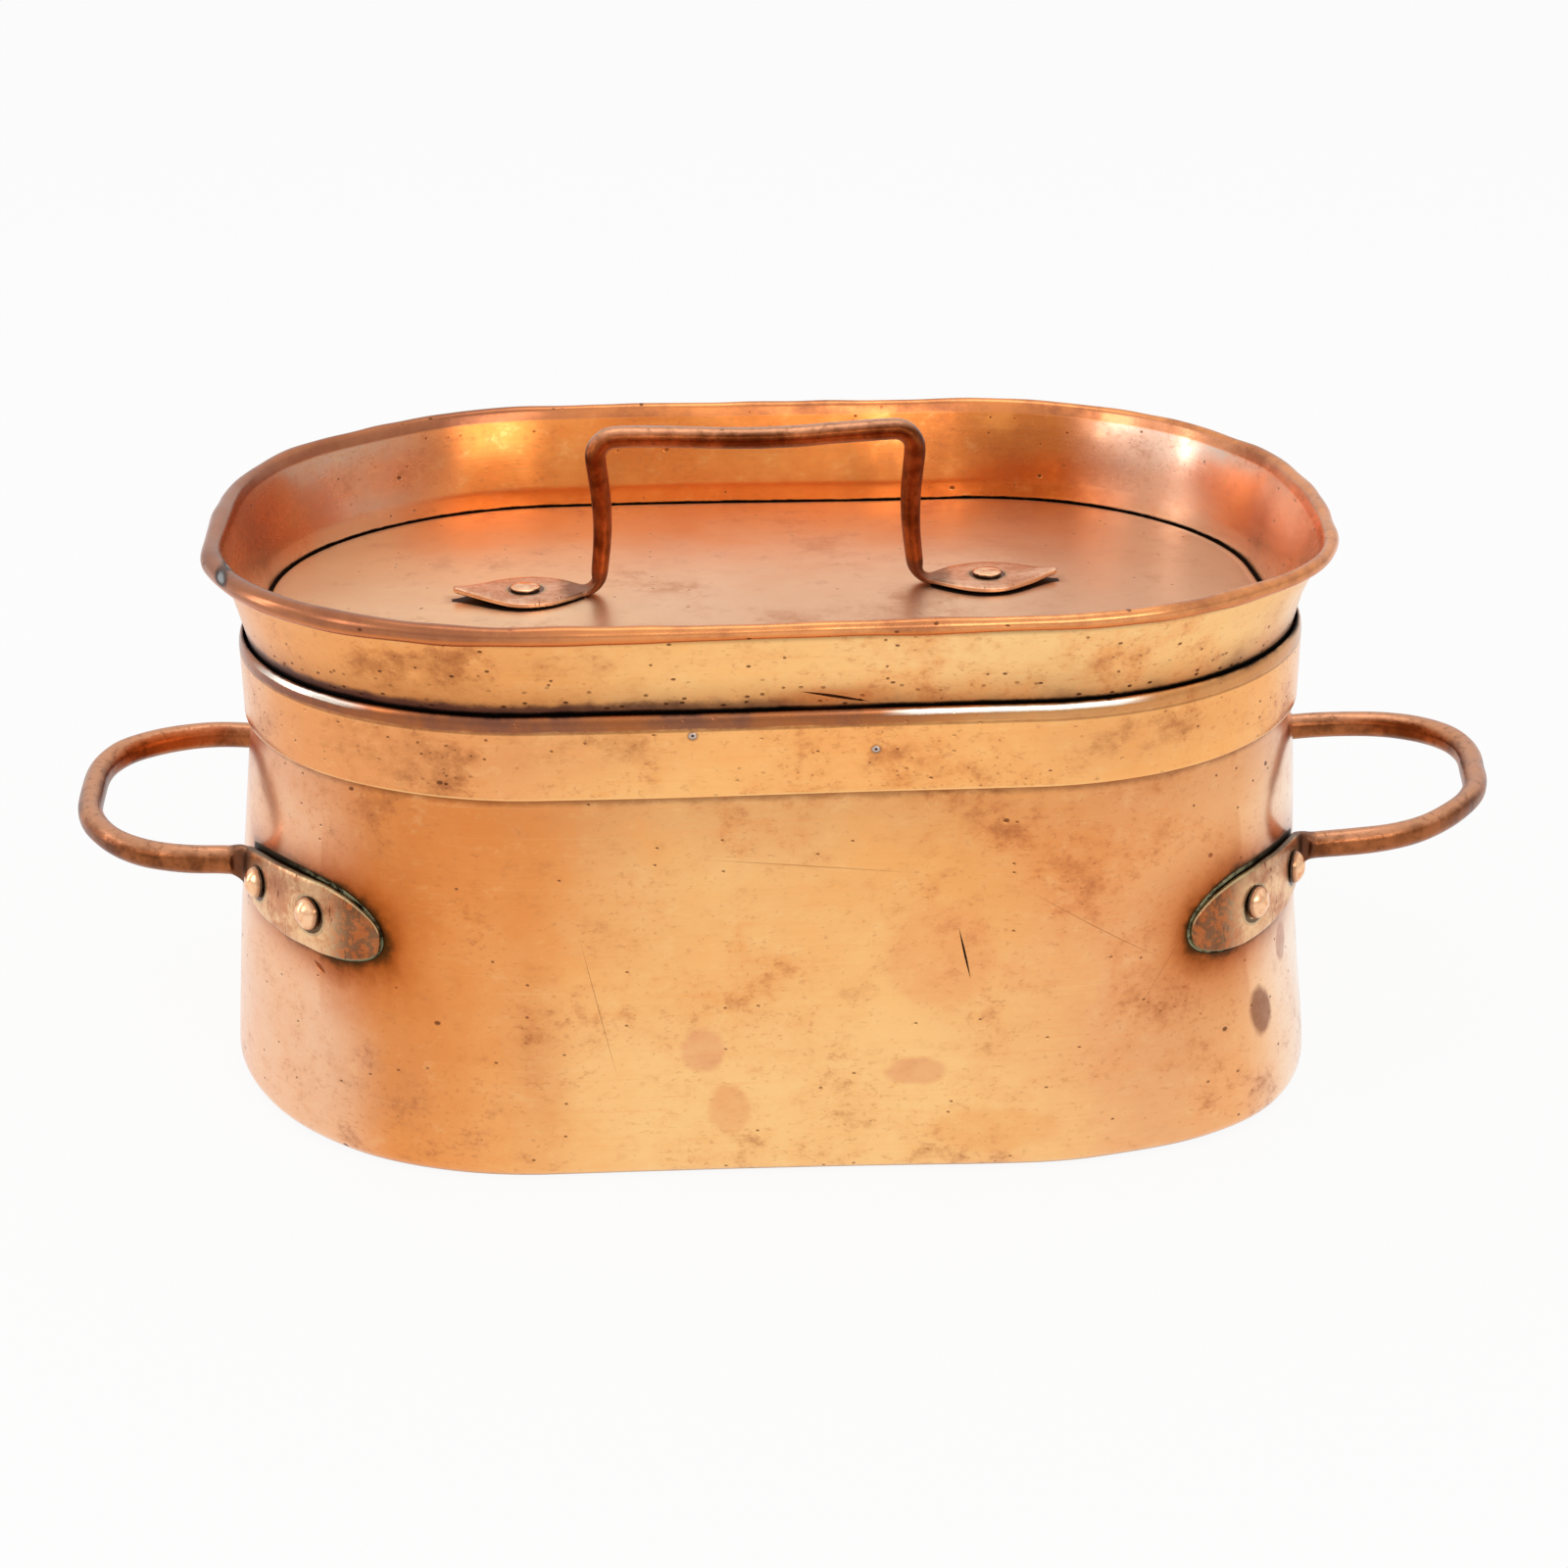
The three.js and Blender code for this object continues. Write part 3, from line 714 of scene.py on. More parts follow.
class Reading:
    """What a node gives over a surface, so that Python arithmetic adds Math nodes."""

    def __init__(self, nodes, socket):
        self.nodes = nodes
        self.socket = socket

    def maths(self, operation, first, second=0.0):
        return self.nodes.node("ShaderNodeMath", {"operation": operation}, {0: first, 1: second})

    def __add__(self, other):
        return self.maths("ADD", self, other)

    def __radd__(self, other):
        return self.maths("ADD", other, self)

    def __sub__(self, other):
        return self.maths("SUBTRACT", self, other)

    def __rsub__(self, other):
        return self.maths("SUBTRACT", other, self)

    def __mul__(self, other):
        return self.maths("MULTIPLY", self, other)

    def __rmul__(self, other):
        return self.maths("MULTIPLY", other, self)

    def __truediv__(self, other):
        return self.maths("DIVIDE", self, other)

    def __pow__(self, other):
        return self.maths("POWER", self, other)

    def __abs__(self):
        return self.maths("ABSOLUTE", self)

    def upto(self, other):
        return self.maths("MINIMUM", self, other)

    def atleast(self, other):
        return self.maths("MAXIMUM", self, other)


class Nodes:
    """A tree of nodes, and short ways to add to it."""

    def __init__(self, tree):
        self.tree = tree

    def node(self, kind, settings=None, values=None, output=0):
        made = self.tree.nodes.new(kind)
        for name, value in (settings or {}).items():
            setattr(made, name, value)
        for key, value in (values or {}).items():
            self.feed(made.inputs[key], value)
        return Reading(self, made.outputs[output])

    def feed(self, socket, value):
        if isinstance(value, Reading):
            self.tree.links.new(value.socket, socket)
        else:
            socket.default_value = value

    def parts(self, vector):
        split = self.node("ShaderNodeSeparateXYZ", values={0: vector})
        outputs = split.socket.node.outputs
        return [Reading(self, outputs[axis]) for axis in ("X", "Y", "Z")]

    def ray_kinds(self):
        """1 for rays from the camera, and 1 for rays that a gloss has mirrored."""
        outputs = self.node("ShaderNodeLightPath").socket.node.outputs
        return Reading(self, outputs["Is Camera Ray"]), Reading(self, outputs["Is Glossy Ray"])

    def between(self, value, low, high):
        """0 where the value is at low, 1 at high, smooth between; low may be the larger."""
        limits = {"Value": value, "From Min": low, "From Max": high}
        return self.node("ShaderNodeMapRange", {"interpolation_type": "SMOOTHSTEP"}, limits)

    def band(self, value, low, high, soft):
        """1 from low to high, fading out over a soft edge."""
        return self.between(value, low - soft, low) * self.between(value, high + soft, high)


class Finish(Nodes):
    """A metal's material with its shader, on the places that its sheet had before it was worked over."""

    def __init__(self, name):
        self.material = bpy.data.materials.new(name)
        self.material.use_nodes = True
        super().__init__(self.material.node_tree)
        self.shader = self.tree.nodes["Principled BSDF"]
        self.shader.inputs["Metallic"].default_value = 1.0
        self.place = self.marked("made", "Vector")
        self.x, self.y, self.z = self.parts(self.place)
        self.unrolled = self.place

    def marked(self, name, output="Fac"):
        """What the mesh was marked with under a name."""
        return self.node("ShaderNodeAttribute", {"attribute_name": name}, output=output)

    def clouds(self, size, detail=4, roughness=0.55, stretch=(1, 1, 1), seed=0):
        """Soft patches about so many millimetres across, from 0 to 1."""
        scale = tuple(1 / (size * part) for part in stretch)
        start = (seed, seed * 0.7, seed * 1.3)
        spot = self.node("ShaderNodeMapping", values={0: self.place, 1: start, 3: scale})
        settings = {"Vector": spot, "Scale": 1.0, "Detail": detail, "Roughness": roughness}
        return self.node("ShaderNodeTexNoise", values=settings)

    def pits(self, spacing, size, share, seed=0, stretch=1.4):
        """Small specks on the unrolled sheet: cells of one spacing, of which a share holds a speck."""
        scale = (1 / (spacing * stretch), 1 / spacing, 1)
        spot = self.node("ShaderNodeMapping", values={0: self.unrolled, 1: (seed, seed, 0), 3: scale})
        values = {"Vector": spot, "Scale": 1.0}
        cells = self.node("ShaderNodeTexVoronoi", {"voronoi_dimensions": "2D"}, values)
        tint = Reading(self, cells.socket.node.outputs["Color"])
        chance = self.node("ShaderNodeSeparateColor", values={0: tint})
        here = self.between(chance, 1 - share, 1 - share + 0.02)
        radius = size / spacing
        return here * self.between(cells, radius, radius * 0.5)

    def front_spot(self, x, z, half_x, half_z, soft=0.5, ragged=0.5):
        """A stain on the front: 1 inside and 0 outside, with an edge as soft and ragged as wanted."""
        across = (self.x - x) / half_x
        upright = (self.z - z) / half_z
        far = (across * across + upright * upright) ** 0.5
        edge = self.clouds(max(half_x, half_z) * 0.8, 5, 0.6, seed=x) - 0.5
        stain = self.between(far + edge * ragged, 1 + soft, 1 - soft)
        return stain * self.between(self.y, *FRONT)

    def scratch(self, start, end, width):
        """A scratch on the front between two points (x, z), thin at its ends."""
        length = math.hypot(end[0] - start[0], end[1] - start[1])
        way = ((end[0] - start[0]) / length, (end[1] - start[1]) / length)
        along = (self.x - start[0]) * way[0] + (self.z - start[1]) * way[1]
        aside = abs((self.z - start[1]) * way[0] - (self.x - start[0]) * way[1])
        middle = abs(along / length - 0.5) * 2
        wide = (1 - middle * middle) * width
        inside = self.between(middle, 1.0, 0.9) * self.between(self.y, *FRONT)
        return inside * self.between(aside - wide, 0.0, -0.5 * width)

    def paint(self, mask, under, over):
        """One colour laid over another where the mask is 1."""
        return self.node("ShaderNodeMix", {"data_type": "RGBA"}, {0: mask, 6: under, 7: over}, output=2)

    def relief(self, height, depth):
        """Bumps the surface by a height pattern whose full step is so many millimetres."""
        values = {"Height": height, "Distance": depth * MM, "Strength": 1.0}
        return self.node("ShaderNodeBump", values=values)

    def done(self, colour, roughness, normal=None):
        self.feed(self.shader.inputs["Base Color"], colour)
        self.feed(self.shader.inputs["Roughness"], roughness)
        if normal:
            self.feed(self.shader.inputs["Normal"], normal)
        return self.material


# Tones of the copper
PALE = tone(255, 208, 142)
GOLD = tone(255, 190, 116)
DEEP = tone(244, 150, 76)
RUST = tone(216, 116, 48)
BROWN = tone(170, 98, 60)
PURPLE = tone(122, 74, 62)
DARK = tone(96, 52, 30)
# Near black: soot in scratches, seams and the crevice, and also a painted shadow under the grip's feet
SOOT_AND_SHADOW = tone(20, 14, 12)
PINK = tone(240, 172, 132)
# Pale tone for the pot's ends: a painted reflection of the bright surroundings
END_REFLECTION_PALE = tone(255, 226, 198)
TIN = tone(196, 190, 180)
TIN_DARK = tone(128, 114, 100)

# Clouds on the front of the body: x, z, half width, half height, colour, how strong
BODY_CLOUDS = [
    (-92, 100, 46, 28, RUST, 0.9),
    (-130, 96, 20, 26, BROWN, 0.7),
    (86, 98, 34, 22, tone(234, 144, 74), 0.8),
    (92, 66, 36, 44, tone(230, 150, 96), 0.7),
    (116, 40, 20, 40, tone(214, 140, 94), 0.5),
    (-134, 34, 34, 34, tone(190, 118, 78), 0.7),
    (-78, 44, 9, 34, tone(206, 126, 74), 0.6),
    (-30, 70, 60, 22, tone(240, 156, 86), 0.6),
    (24, 100, 46, 16, tone(232, 150, 84), 0.6),
    (-104, 62, 20, 24, tone(214, 128, 66), 0.5),
]

# Stains on the front of the body: x, z, half width, half height, colour, how strong
BODY_STAINS = [
    (-27, 43, 6.8, 7, tone(226, 146, 106), 0.55),
    (-19, 23, 6.4, 8, tone(232, 150, 96), 0.5),
    (38, 34, 9, 4.6, tone(226, 146, 104), 0.55),
    (149, 36, 4.2, 7.2, tone(140, 84, 60), 1.0),
    (162, 50, 2.6, 6, tone(176, 112, 84), 0.8),
    (46, 70, 16, 16, tone(240, 158, 98), 0.5),
    (62, 14, 20, 7, tone(244, 168, 98), 0.5),
]

# Browned clouds on the front of the skirt and of the tray wall: x, z, half width, half height, how strong
SKIRT_CLOUDS = [(104, 137, 32, 11, 1.0), (-124, 134, 50, 16, 0.85), (-64, 139, 44, 9, 0.7)]
TRAY_CLOUDS = [(-112, 160, 44, 14, 1.0), (-66, 166, 30, 9, 0.6), (78, 160, 26, 8, 0.5)]

# Scratches on the front of the body: both ends, x and z
LIGHT_SCRATCHES = [
    ((70, 92), (118, 62)),
    ((-30, 104), (40, 97)),
    ((104, 44), (140, 96)),
    ((-64, 84), (-52, 30)),
]

# Warts on the skirt's front: x, z
WARTS = [(-28, 143), (26, 137)]


class Sheet:
    """The copper's colour, gloss and relief while a finish is being laid on."""

    def __init__(self, name, seed, base=GOLD, pale=PALE, deep=DEEP, gloss=0.1, standing=True):
        self.finish = finish = Finish(name)
        if standing:
            finish.unrolled = self.unroll()
        self.large = finish.clouds(130, 3, 0.5, seed=seed)
        self.small = finish.clouds(34, 8, 0.66, seed=seed + 3)
        self.fine = finish.clouds(6, 6, 0.72, (1.6, 1.6, 1), seed + 4)
        self.streaks = finish.clouds(5, 3, 0.7, (9, 9, 0.2), seed + 5)
        self.offset = self.from_neck()
        self.mottle = self.small * 0.7 + self.fine * 0.3
        paler = finish.between(self.large * 0.6 + self.small * 0.4, 0.4, 0.6)
        self.colour = finish.paint(paler, base, pale)
        self.gloss = gloss + 0.16 * self.small + 0.1 * self.fine
        self.height = finish.clouds(20, 2, 0.5, seed=seed + 21) + self.streaks * 0.05 + self.fine * 0.09
        self.lay(finish.between(self.small, 0.48, 0.72) * 0.7, deep)

    def beyond_core(self):
        """How far a place lies outside the plan's core, along X and along Y."""
        x, y = abs(self.finish.x), abs(self.finish.y)
        return (x - CORNER_X).atleast(0.0), (y - CORNER_Y).atleast(0.0)

    def unroll(self):
        """Places on a standing sheet as if it were unrolled: round the plan, and up."""
        x, y = self.finish.x, self.finish.y
        beyond_x, beyond_y = self.beyond_core()
        turned = x.maths("ARCTAN2", beyond_x, beyond_y) * NECK_RADIUS
        around = abs(x).upto(CORNER_X) + turned + (CORNER_Y - abs(y).upto(CORNER_Y))
        around = around * x.maths("SIGN", x) + 1000 * y.maths("GREATER_THAN", y, 0.0)
        return self.finish.node("ShaderNodeCombineXYZ", values={0: around, 1: self.finish.z})

    def from_neck(self):
        """How far outside the neck's plan a place lies, in millimetres."""
        beyond_x, beyond_y = self.beyond_core()
        return (beyond_x * beyond_x + beyond_y * beyond_y) ** 0.5 - NECK_RADIUS

    def lay(self, mask, colour, dull=0.0, sunk=0.0):
        """Lays a colour on where the mask is 1, duller and sunk where wanted."""
        self.colour = self.finish.paint(mask, self.colour, colour)
        if dull:
            self.gloss = self.gloss + mask * dull
        if sunk:
            self.height = self.height - mask * sunk

    def wavy(self, value, far):
        """A value with an edge that wanders by so many millimetres, patch by patch."""
        return value + (self.small - 0.5) * far

    def rough(self, value, far):
        """A value with an edge that is rough by so many millimetres, speck by speck."""
        return value + (self.fine - 0.5) * far

    def patchy(self, mask, fullness):
        """A soft mask turned into patches with the sheet's own mottling, more of them where it is full."""
        low = 0.62 - 0.3 * fullness
        return self.finish.between(self.mottle + (mask - 1) * 0.3, low, 0.86 - 0.3 * fullness)

    def lay_patches(self, mask, fullness, much, colour, dull=0.0):
        """Lays a colour on in patches where the mask is 1."""
        self.lay(self.patchy(mask, fullness) * mask * much, colour, dull)

    def lay_clouds(self, clouds, film, patches):
        """Browned places on the front: a thin film with patches in it, each a strength and a colour."""
        for x, z, wide, tall, much in clouds:
            cloud = self.finish.front_spot(x, z, wide, tall, 0.7, 0.9)
            self.lay(cloud * (film[0] * much), film[1], 0.03)
            self.lay(cloud * self.patchy(cloud, 0.6) * (patches[0] * much), patches[1], 0.06)

    def lay_tin(self, mask):
        """The tin lining, worn through to the copper in places."""
        tin = self.finish.paint(self.finish.between(self.small, 0.3, 0.7), TIN, TIN_DARK)
        worn = self.finish.between(self.mottle, 0.54, 0.66) * 0.6
        self.lay(mask * (1 - worn), tin, 0.12)

    def lay_wear(self, seed):
        """What every sheet of the pot has: brushing, brown specks, pits and a film of tarnish."""
        finish = self.finish
        self.lay(finish.between(self.streaks, 0.5, 0.85) * 0.28, DEEP)
        self.lay(finish.between(self.streaks, 0.45, 0.2) * 0.16, PALE)
        self.lay(finish.between(self.mottle, 0.44, 0.56) * 0.2, tone(248, 164, 90))
        grain = finish.clouds(1.5, 3, 0.6, (1.6, 1.6, 1), seed + 31)
        self.lay(finish.between(grain + (self.small - 0.5) * 0.5, 0.56, 0.72) * 0.26, BROWN, 0.04)
        self.lay(finish.between(self.fine, 0.52, 0.8) * 0.3, BROWN, 0.06)
        self.lay(finish.between(self.fine, 0.46, 0.3) * 0.2, PALE)
        self.lay(finish.between(self.mottle, 0.55, 0.7) * 0.6, BROWN, 0.1)
        self.lay(finish.pits(7, 0.5, 0.14, seed) * 0.7, DARK, 0.2, 0.8)
        self.lay(finish.pits(3.0, 0.4, 0.3, seed + 5) * self.patchy(1.0, 0.4), DARK, 0.2, 0.6)
        self.lay(finish.pits(24, 0.9, 0.2, seed + 11) * 0.8, DARK, 0.2, 1.2)

    def done(self):
        return self.finish.done(self.colour, self.gloss.upto(0.8), self.finish.relief(self.height, 0.15))


def strap_edge(finish):
    """How far a place on the wall is outside the nearest strap, and how far along from its bend."""
    radius, root = strap_root(LOOPS["right"][1])
    on_left = finish.x.maths("LESS_THAN", finish.x, 0.0)
    height = LOOPS["right"][1] + (LOOPS["left"][1] - LOOPS["right"][1]) * on_left
    beyond_x = abs(finish.x) - CORNER_X
    beyond_y = abs(finish.y) - CORNER_Y
    along = (beyond_y.maths("ARCTAN2", beyond_y, beyond_x) - root) * radius
    droop = ((along - STRAP_LEVEL) / (STRAP_LENGTH - STRAP_LEVEL)).atleast(0.0)
    upright = abs(finish.z - height + STRAP_DROOP * droop * droop)
    half = STRAP_WIDE / 2
    to_root = ((STRAP_WIDEST - along) / STRAP_WIDEST).atleast(0.0)
    beside = upright - (half - (STRAP_WIDE - STRAP_ROOT_WIDE) / 2 * to_root * to_root * to_root)
    tip_length = STRAP_LENGTH - STRAP_WIDEST
    to_tip = ((along - STRAP_WIDEST) / tip_length).atleast(0.0)
    across = upright / half
    slope = ((to_tip / tip_length) ** 2 + (across / half) ** 2) ** 0.5 * 2
    round_tip = (to_tip * to_tip + across * across - 1) / slope
    past = finish.between(along, STRAP_WIDEST - 1, STRAP_WIDEST + 1)
    return (beside + (round_tip - beside) * past).atleast(0 - along), along


def foot_edge(finish, forward):
    """How far a place on the panel is outside the nearest foot of the grip, moved forward a little."""
    turn = GRIP_PLACE.to_euler().z
    x, y = finish.x - GRIP_PLACE.translation.x, finish.y - GRIP_PLACE.translation.y + forward
    along = abs(x * math.cos(turn) + y * math.sin(turn))
    aside = abs(y * math.cos(turn) - x * math.sin(turn))
    from_tip = GRIP_LEG_X + FOOT_LENGTH - along
    to_tip = (1 - from_tip / FOOT_RIVET).atleast(0.0).upto(1.0)
    quarter = to_tip * (math.pi / 2)
    leaf = FOOT_TIP_WIDE + (FOOT_WIDE - FOOT_TIP_WIDE) * quarter.maths("COSINE", quarter) ** 1.4
    to_leg = ((from_tip - FOOT_RIVET) / (FOOT_LENGTH - FOOT_BEND - FOOT_RIVET)).atleast(0.0).upto(1.0)
    half = (leaf + (GRIP_WIDE - leaf) * to_leg * to_leg) * 0.5
    return (aside - half).atleast(0 - from_tip).atleast(from_tip - FOOT_LENGTH + FOOT_BEND)


def body_finish():
    """The wall: pale low in the middle, redder to the left, clouded, stained, scorched at its straps; its
    ends painted pale as a reflection, with painted shade under the skirt, along the straps' edges, under
    the hem and along its bottom edge.
    """
    sheet = Sheet("aged_body_copper", 1)
    finish = sheet.finish
    hem = SKIRT_HEM
    sheet.lay(finish.front_spot(0, 14, 110, 60, 0.6) * 0.7, PALE)
    sheet.lay(finish.between(sheet.wavy(finish.x, 90), -40, -120) * 0.85, DEEP)
    sheet.lay(finish.between(sheet.wavy(finish.x, 90), 55, 110) * 0.45, PINK)
    for x, z, wide, tall, colour, much in BODY_CLOUDS:
        cloud = finish.front_spot(x, z, wide, tall, 0.8, 0.9)
        sheet.lay(cloud * much * 0.5, colour)
        sheet.lay(cloud * sheet.patchy(cloud, 0.6) * much, colour, 0.05)
    # The ends are painted pale: a painted reflection of the bright surroundings
    ends = finish.between(sheet.wavy(abs(finish.x - 8), 16), 130, 156)
    ends = ends * (0.4 + 0.6 * finish.between(finish.y, 20, -40))
    sheet.lay(ends * (0.5 + 0.45 * finish.between(finish.x, 0, 60)), END_REFLECTION_PALE, -0.08)
    # Darker below the skirt: painted shade under its overhang, mottled with brown patches
    shade_under_skirt = finish.between(sheet.wavy(finish.z, 30), hem - 30, hem)
    sheet.lay(shade_under_skirt * 0.45, tone(206, 120, 66))
    sheet.lay_patches(shade_under_skirt, 0.6, 0.5, BROWN)
    sheet.lay_wear(2)
    for x, z, wide, tall, colour, much in BODY_STAINS:
        stain = finish.front_spot(x, z, wide, tall, 0.2, 0.5)
        sheet.lay(stain * (0.5 + sheet.fine * 0.6) * much, colour)
    sheet.lay(finish.scratch((51, 80), (55, 62), 0.4), SOOT_AND_SHADOW, 0.2, 1.5)
    sheet.lay(finish.scratch((-147, 61.5), (-143, 58), 1.0), SOOT_AND_SHADOW, 0.2, 1.5)
    for start, end in LIGHT_SCRATCHES:
        sheet.lay(finish.scratch(start, end, 0.22) * 0.35, DARK, 0.1, 0.3)
    edge, along = strap_edge(finish)
    ragged = sheet.wavy(sheet.rough(edge, 4), 12)
    at_tip = finish.between(along, 24, 58)
    above = 0.5 + 0.5 * at_tip
    sheet.lay(finish.between(ragged, 17, 2) * above * 0.8, tone(196, 96, 30), 0.02)
    sheet.lay(finish.between(ragged, 9, 1) * above * 0.8, tone(140, 62, 16), 0.04)
    sheet.lay(finish.between(ragged, 4, 1) * above * 0.9, tone(66, 40, 14), 0.1)
    # A near-black line hugging each strap's edge: painted shadow in the gap under the strap, with soot
    sheet.lay(finish.between(edge, 1.6, 0.9), tone(44, 34, 18), 0.25, 0.4)
    green = finish.band(edge, 0.0, 0.8, 0.4) * at_tip * finish.between(sheet.fine, 0.38, 0.54)
    sheet.lay(green, tone(178, 174, 138), 0.3, -0.6)
    # A dark line just under the hem: painted shadow of the skirt's hem, with grime
    up = sheet.rough(finish.z, 3)
    shadow_and_grime_under_hem = finish.between(up, hem - 3.2, hem - 0.4) * finish.between(up, hem + 6, hem + 1)
    sheet.lay(shadow_and_grime_under_hem * 0.55, DARK, 0.1)
    neck = finish.between(up, hem, hem + 3)
    sheet.lay(neck * 0.4, tone(196, 120, 76), 0.06)
    sheet.lay_patches(neck, 0.7, 0.7, tone(132, 80, 58), 0.1)
    # Darker along the bottom edge: painted shade
    sheet.lay(finish.between(finish.z, 2.6, 0.6) * 0.8, DARK, 0.2)
    sheet.lay_tin(finish.between(sheet.rough(finish.marked("inner"), 0.2), 0.4, 0.6))
    return sheet.done()


def base_finish():
    """The base: browned underneath, tinned on top."""
    sheet = Sheet("aged_base_copper", 70, standing=False)
    finish = sheet.finish
    sheet.lay_wear(71)
    under = finish.between(finish.z, 1.2, 0.8)
    sheet.lay(under * 0.4, BROWN, 0.1)
    sheet.lay_patches(under, 0.7, 0.8, PURPLE, 0.15)
    sheet.lay_tin(finish.between(finish.z, 1.2, 1.6))
    return sheet.done()


def skirt_finish():
    """The skirt: browned at the left, rust-pitted, its ends painted pale as a reflection, its shoulder dark
    with patina and painted dark reflection, a painted highlight on the worn fold and at the hem.
    """
    sheet = Sheet("aged_skirt_copper", 30, tone(255, 180, 106), tone(255, 198, 128))
    finish = sheet.finish
    hem = SKIRT_HEM
    sheet.lay(finish.between(sheet.wavy(finish.x, 80), -30, -105) * 0.7, tone(242, 158, 98))
    sheet.lay_clouds(SKIRT_CLOUDS, (0.3, tone(214, 134, 84)), (0.95, tone(134, 76, 52)))
    # The ends painted pale: a painted reflection of the bright surroundings
    sheet.lay(finish.between(abs(finish.x), 150, 172) * 0.4, END_REFLECTION_PALE)
    sheet.lay_wear(33)
    rusty = sheet.patchy(1.0, 0.5)
    sheet.lay(finish.pits(4.2, 0.5, 0.16, 51, 1.7) * (0.3 + rusty * 0.7), DARK, 0.2, 1.4)
    sheet.lay(finish.pits(3.0, 0.4, 0.4, 77) * rusty, DARK, 0.2, 0.8)
    # The shoulder's dark purple-brown: patina, deepened as a painted dark reflection; less of it at the
    # right front, where a highlight falls
    below = finish.between(sheet.rough(finish.z, 1.6), SHOULDER_TOP - 5.2, SHOULDER_TOP - 4.0)
    brown = 0.92 - 0.5 * finish.between(finish.x, 20, 75) * finish.between(finish.y, 0, -40)
    shoulder = finish.paint(finish.between(sheet.small, 0.4, 0.6), PURPLE, tone(160, 92, 54))
    sheet.lay(below * brown, shoulder)
    dip = finish.band(finish.z, SHOULDER_TOP - 5.1, SHOULDER_TOP - 4.7, 0.4)
    sheet.lay(dip * 0.45, DARK, 0.1, 0.5)
    # A pale streak on the fold: a painted highlight, where the tarnish is also worn
    fold = finish.band(sheet.rough(finish.z, 0.8), SHOULDER_TOP - 1.7, SHOULDER_TOP - 0.7, 0.5)
    bright = finish.between(finish.x, 26, 40) * finish.between(finish.x, 112, 96)
    bright = bright + finish.between(finish.x, -122, -138)
    worn = fold * bright * finish.between(finish.y, -60, -80)
    sheet.lay(worn * 0.9, tone(255, 244, 230))
    soot = finish.between(sheet.wavy(sheet.offset, 3), 1.2, 0.1)
    soot = soot * finish.between(finish.z, SHOULDER_TOP - 2.4, SHOULDER_TOP - 0.6)
    sheet.lay(soot, SOOT_AND_SHADOW, 0.4)
    # The hem's lower edge painted pale: a painted highlight along it, with wear
    lit_and_rubbed = finish.between(finish.z, hem + 1.0, hem + 0.5) * finish.between(sheet.small, 0.3, 0.6)
    sheet.lay(lit_and_rubbed * 0.7, PALE)
    for x, z in WARTS:
        sheet.lay(finish.front_spot(x, z, 1.6, 1.4, 0.4, 0.3) * 0.7, DARK)
        sheet.lay(finish.front_spot(x, z, 1.15, 0.95, 0.3, 0.3), tone(200, 188, 178), 0.1, -2.0)
        sheet.lay(finish.front_spot(x, z, 0.5, 0.4, 0.3, 0.3), DARK, 0.0, 1.0)
    inside = finish.between(sheet.offset, 1.0, 0.8) * finish.between(finish.z, SEAT_TOP + 1, SEAT_TOP)
    sheet.lay_patches(inside, 0.7, 0.7, BROWN, 0.12)
    return sheet.done()


